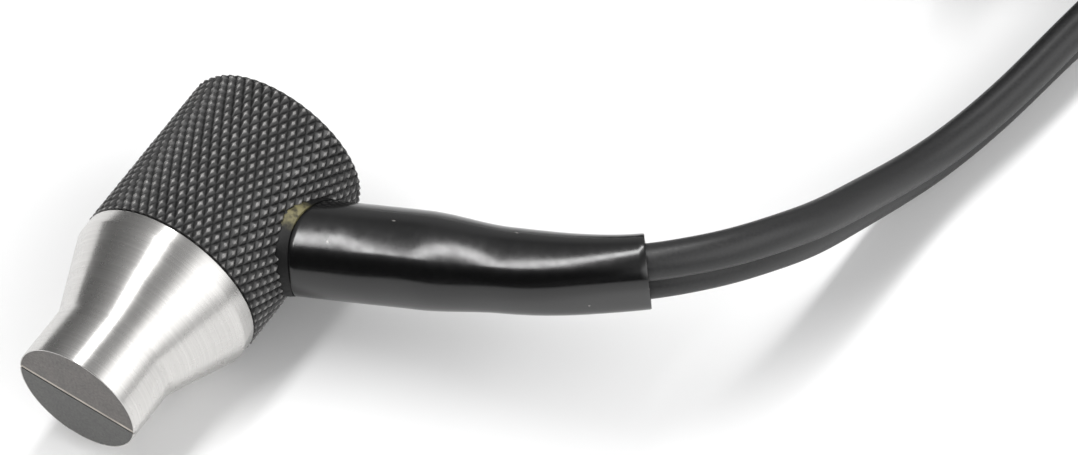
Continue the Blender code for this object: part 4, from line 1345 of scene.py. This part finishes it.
@dataclass
class Plug:
    """One push-pull plug; heights run from the boot's rear end towards the barrel's front."""

    finishes: Finishes
    channel: Channel
    bore: float = 1.53 * MM  # round the tail
    nut: float = 11.3 * MM  # where the nut starts
    nut_end: float = 14.7 * MM
    nut_radius: float = 2.9 * MM
    release: float = 16.0 * MM  # where the release sleeve starts
    release_length: float = 8.6 * MM
    radius: float = 3.2 * MM
    ring_groove: float = 2.98 * MM  # radius of the groove round the release sleeve
    barrel_radius: float = 2.4 * MM
    barrel_bore: float = 1.95 * MM
    front: float = 29.2 * MM
    contact_radius: float = 0.35 * MM
    soft: float = 0.05 * MM  # the eases of edges: hardly broken, broken and rounded
    broken: float = 0.12 * MM
    round: float = 0.25 * MM

    def __post_init__(self) -> None:
        """Finds the plug's axis from its boot."""
        self.stand = Stand(boot_rear(self.channel), np.array([0.0, -1.0, 0.0]), np.array([1.0, 0.0, 0.0]))

    def build(self) -> list[bpy.types.Object]:
        """Builds the plug.

        Returns:
            Its pieces, in order from the boot.
        """
        nickel = (NICKEL, "satin_nickel")
        return [
            self.piece("boot", self.boot_profile(), BOOT, "boot_rubber"),
            self.piece("collet_nut", self.nut_profile(), *nickel, relief=self.flats),
            self.piece("plug_barrel", self.barrel_profile(), *nickel),
            self.piece(
                "release_sleeve", self.sleeve_profile(), *nickel, self.channel.release, relief=self.grip
            ),
            self.piece("latch_ring", self.latch_profile(), *nickel),
            self.piece("plug_insulator", self.insulator_profile(), INSULATOR, "plug_insulator"),
            self.piece("centre_contact", self.contact_profile(), GOLD, "gold_contact", closed=False),
        ]

    def boot_profile(self) -> list[Triple]:
        """The boot: a collar in front, and behind it five ribs that get smaller towards the rear.

        Returns:
            The profile's corners.
        """
        corners = [(1.55, 0.0, 0.1), (self.bore / MM, 0.0, 0.1), (self.bore / MM, 11.0, 0.1)]
        corners += [(2.42, 11.0, 0.2), (2.42, 8.8, 0.3)]
        for rib in range(5):
            rear, valley = 1.4 * rib, 1.85 - 0.06 * rib
            corners += [(2.3 - 0.1 * rib, 8.0 - rear, 0.12), (valley, 7.7 - rear, 0.12)]
            corners += [(valley, 7.2 - rear, 0.12), (2.22 - 0.1 * rib, 6.9 - rear, 0.12)]
        return [tuple(value * MM for value in corner) for corner in corners]

    def nut_profile(self) -> list[Triple]:
        """The collet nut: a ring whose rear edge is cut at a slant.

        Returns:
            The profile's corners.
        """
        return [
            (self.bore, self.nut, self.soft),
            (self.bore, self.nut_end, self.soft),
            (self.nut_radius, self.nut_end, self.broken),
            (self.nut_radius, self.nut + 0.45 * MM, self.broken),
            (self.nut_radius - 0.4 * MM, self.nut, self.broken),
        ]

    def barrel_profile(self) -> list[Triple]:
        """The barrel: a plain tube.

        Returns:
            The profile's corners.
        """
        rear = self.nut_end + 0.1 * MM
        return [
            (self.barrel_radius, rear, 0.0),
            (self.barrel_bore, rear, 0.0),
            (self.barrel_bore, self.front, 0.08 * MM),
            (self.barrel_radius, self.front, self.broken),
        ]

    def sleeve_profile(self) -> list[Triple]:
        """The release sleeve: a tube with rounded ends and a groove near its front.

        Returns:
            The profile's corners.
        """
        end = self.release + self.release_length
        bore = self.barrel_radius + 0.2 * MM
        return [
            (bore, self.release, 0.1 * MM),
            (bore, end, 0.1 * MM),
            (self.radius, end, self.round),
            (self.radius, end - 1.0 * MM, self.soft),
            (self.ring_groove, end - 1.1 * MM, self.soft),
            (self.ring_groove, end - 1.5 * MM, self.soft),
            (self.radius, end - 1.6 * MM, self.soft),
            (self.radius, self.release, self.round),
        ]

    def latch_profile(self) -> list[Triple]:
        """The latch ring: a ring with a slanting front, in front of the release sleeve.

        Returns:
            The profile's corners.
        """
        end = self.release + self.release_length
        seat = self.barrel_radius + 0.1 * MM
        return [
            (seat, end + 0.3 * MM, 0.0),
            (seat, end + 1.9 * MM, self.soft),
            (seat + 0.2 * MM, end + 1.9 * MM, self.soft),
            (seat + 0.4 * MM, end + 1.26 * MM, 0.08 * MM),
            (seat + 0.4 * MM, end + 0.3 * MM, self.soft),
        ]

    def insulator_profile(self) -> list[Triple]:
        """The insulator: a tube between contact and barrel, with a low step in front.

        Returns:
            The profile's corners.
        """
        bore, outer = self.contact_radius + 0.1 * MM, self.barrel_bore - 0.1 * MM
        return [
            (bore, 19.0 * MM, 0.0),
            (bore, 26.8 * MM, self.soft),
            (1.2 * MM, 26.8 * MM, self.soft),
            (1.3 * MM, 26.5 * MM, self.soft),
            (outer, 26.5 * MM, self.soft),
            (outer, 19.0 * MM, 0.0),
        ]

    def contact_profile(self) -> list[Triple]:
        """The centre contact: a pin with a blunt point.

        Returns:
            The profile's corners, from the axis and back to it.
        """
        return [
            (0.0, self.release, 0.0),
            (self.contact_radius, self.release, 0.0),
            (self.contact_radius, 28.1 * MM, 0.2 * MM),
            (0.12 * MM, 28.5 * MM, self.soft),
            (0.0, 28.5 * MM, 0.0),
        ]

    def piece(
        self,
        name: str,
        corners: list[Triple],
        finish: Grain,
        slot: str,
        body: Body = Body.PROBE,
        closed: bool = True,
        relief: Callable[[Array, Array], Array] | None = None,
    ) -> bpy.types.Object:
        """One turned piece of the plug, that stands for the solid of its name.

        Args:
            name: The piece's name, without its channel.
            corners: Its profile's corners.
            finish: Its finish.
            slot: The record's material slot.
            body: The body that it rides on.
            closed: Whether the profile closes on itself.
            relief: Gives what to add to the radius from the height and the angle.

        Returns:
            The piece.
        """
        node = name + "_" + self.channel.value
        profile = eased(corners, closed)
        if relief is not None:
            profile = self.filled(profile)
        piece = turned(node + "_turned", self.stand, profile, 120, closed, relief)
        return self.finishes.dress(piece, finish, body, slot, (node,))

    @staticmethod
    def filled(profile: Array) -> Array:
        """A closed profile with more points on its long runs, for a relief to work on.

        Args:
            profile: The profile's points.

        Returns:
            Its points and those between them.
        """
        spans = np.roll(profile, -1, axis=0) - profile
        counts = np.maximum(1, np.ceil(np.linalg.norm(spans, axis=1) / (0.3 * MM))).astype(int)
        runs = [
            point + span * np.arange(count)[:, None] / count
            for point, span, count in zip(profile, spans, counts)
        ]
        return np.concatenate(runs)

    def flats(self, height: Array, angle: Array) -> Array:
        """Six flats for a spanner round the nut's middle: the radius is cut where a hexagon's is less.

        Args:
            height: Heights of the profile's points.
            angle: Angles round the axis.

        Returns:
            What is added to the radius.
        """
        sixth = TURN / 6
        flat = 2.62 * MM / np.cos((angle + sixth / 2) % sixth - sixth / 2)
        band = (height > self.nut + 0.8 * MM) & (height < self.nut + 2.6 * MM)
        return np.where(band, np.minimum(flat - self.nut_radius, 0.0), 0.0)

    def grip(self, height: Array, angle: Array) -> Array:
        """A fine straight knurl on the release sleeve: a triangle wave of the angle, forty to the turn.

        Args:
            height: Heights of the profile's points.
            angle: Angles round the axis.

        Returns:
            What is added to the radius.
        """
        wave = np.abs((angle * 40 / TURN) % 1.0 * 2.0 - 1.0)
        band = (height > self.release + 0.9 * MM) & (height < self.release + 5.6 * MM)
        return np.where(band, -0.12 * MM * wave, 0.0)


# --- stage ----------------------------------------------------------------------------------------


@dataclass
class Studio:
    """The pale floor, the soft lights round it and the camera."""

    probe: Probe
    eye: Triple = (126.7, -157.9, 293.7)  # from the joint's foot, in mm
    pitch: float = math.radians(35.65)
    heading: float = math.radians(31.406)
    lens: float = 167.0  # for a sensor 36 wide
    strip_angle: float = math.radians(101.5)  # from +X up and over, as are the room's angles
    strip_width: float = 0.065
    strip_length: float = 0.75
    strip_distance: float = 0.5
    strip_watts: float = 2.0
    brightest: float = 2.2
    room: tuple[tuple[float, float], ...] = (
        (-180, 0.3), (-4, 0.55), (8, 0.75), (20, 1.7), (30, 2.1), (50, 2.1), (60, 1.0), (68, 0.5), (86, 0.33),
        (95, 0.6), (108, 0.8), (122, 0.45), (137, 0.28), (152, 0.19), (168, 0.15), (180, 0.25),
    )
    back_level: float = 0.5

    def build(self) -> None:
        """Puts up the camera, floor, lights and surroundings."""
        foot = self.probe.stand.foot * np.array([1.0, 1.0, 0.0])
        self.build_camera(foot)
        self.build_floor()
        self.build_strip(foot)
        self.build_world()

    def build_camera(self, foot: Array) -> None:
        """The camera, looking down at the probe from the side of its contact face.

        Args:
            foot: The joint's foot on the floor.
        """
        data = bpy.data.cameras.new("camera")
        data.sensor_fit = "HORIZONTAL"
        data.sensor_width = 36.0
        data.lens = self.lens
        data.clip_start = 0.01
        camera = bpy.data.objects.new("camera", data)
        camera.location = foot + np.array(self.eye) * MM
        camera.rotation_euler = (self.pitch, 0.0, self.heading)
        bpy.context.scene.collection.objects.link(camera)
        bpy.context.scene.camera = camera

    def build_floor(self) -> None:
        """A wide plane just under the object."""
        mesh = bpy.data.meshes.new("floor")
        half = 3.0
        corners = [(-half, -half, 0), (half, -half, 0), (half, half, 0), (-half, half, 0)]
        mesh.from_pydata(corners, [], [(0, 1, 2, 3)])
        floor = bpy.data.objects.new("floor", mesh)
        bpy.context.scene.collection.objects.link(floor)
        mesh.materials.append(Shade("floor_finish", (0.94, 0.94, 0.94), Roughness=0.6).material)

    def build_strip(self, foot: Array) -> None:
        """The long softbox overhead, parallel to the probe, which draws the long highlights.

        Args:
            foot: The joint's foot on the floor.
        """
        way = np.array([math.cos(self.strip_angle), 0.0, math.sin(self.strip_angle)])
        axis = np.array([0.0, 1.0, 0.0])
        data = bpy.data.lights.new("strip_softbox", "AREA")
        data.shape = "RECTANGLE"
        data.size, data.size_y = self.strip_width, self.strip_length
        data.energy = self.strip_watts
        light = bpy.data.objects.new("strip_softbox", data)
        turn = Matrix(np.stack([np.cross(axis, way), axis, way], 1).tolist()).to_4x4()
        light.matrix_world = Matrix.Translation(tuple(foot + way * self.strip_distance)) @ turn
        bpy.context.scene.collection.objects.link(light)

    def build_world(self) -> None:
        """The room, whose level depends on the angle about the probe's direction.

        Towards the front it goes dark, and towards the back it takes the back's own level.
        """
        world = bpy.data.worlds.new("studio")
        world.use_nodes = True
        tree = world.node_tree

        def node(kind: str, values: tuple, output: str | int = 0, **settings: object) -> Socket:
            """Adds a node.

            Args:
                kind: The node's type, without the part that all shader nodes share.
                values: Its inputs in order, each a value or another node's output.
                output: Which of its outputs is wanted.
                settings: The node's own choices.

            Returns:
                That output.
            """
            made = tree.nodes.new("ShaderNode" + kind)
            for key, value in settings.items():
                setattr(made, key, value)
            for socket, value in zip(made.inputs, values):
                if isinstance(value, Socket):
                    tree.links.new(value, socket)
                else:
                    socket.default_value = value
            return made.outputs[output]

        way = node("TexCoord", (), "Generated")
        x, y, z = (node("SeparateXYZ", (way,), letter) for letter in "XYZ")
        angle = node("Math", (z, x), operation="ARCTAN2")
        turn = node("MapRange", (angle, -math.pi, math.pi, 0.0, 1.0))
        ramp = node("ValToRGB", (turn,))
        bar = ramp.node.color_ramp.elements
        for i, (degrees, level) in enumerate(self.room):
            place = (degrees + 180.0) / 360.0
            stop = bar[i] if i < 2 else bar.new(place)
            stop.position = place
            stop.color = (*[level / self.brightest] * 3, 1.0)
        front = node("MapRange", (y, -0.85, -0.45, 0.1, self.brightest), interpolation_type="SMOOTHSTEP")
        sides = node("Math", (ramp, front), operation="MULTIPLY")
        back = node("MapRange", (y, 0.55, 0.75, 0.0, 1.0), interpolation_type="SMOOTHSTEP")
        rest = node("Math", (1.0, back), operation="SUBTRACT")
        sides = node("Math", (sides, rest), operation="MULTIPLY")
        total = node("Math", (back, self.back_level, sides), operation="MULTIPLY_ADD")
        tree.links.new(total, tree.nodes["Background"].inputs["Color"])
        bpy.context.scene.world = world
        bpy.context.scene.view_settings.view_transform = "Standard"


def main() -> None:
    """Builds the object and its stage."""
    logging.basicConfig(level=logging.INFO, format="%(message)s")
    finishes = Finishes()
    probe = Probe(finishes)
    Studio(probe).build()
    Lead(finishes, probe).build()
    probe.build()
    for node, finish in KEPT.items():
        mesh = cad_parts[node].data
        mesh.materials.clear()
        mesh.materials.append(finishes.get(finish))


if __name__ == "__main__":
    main()
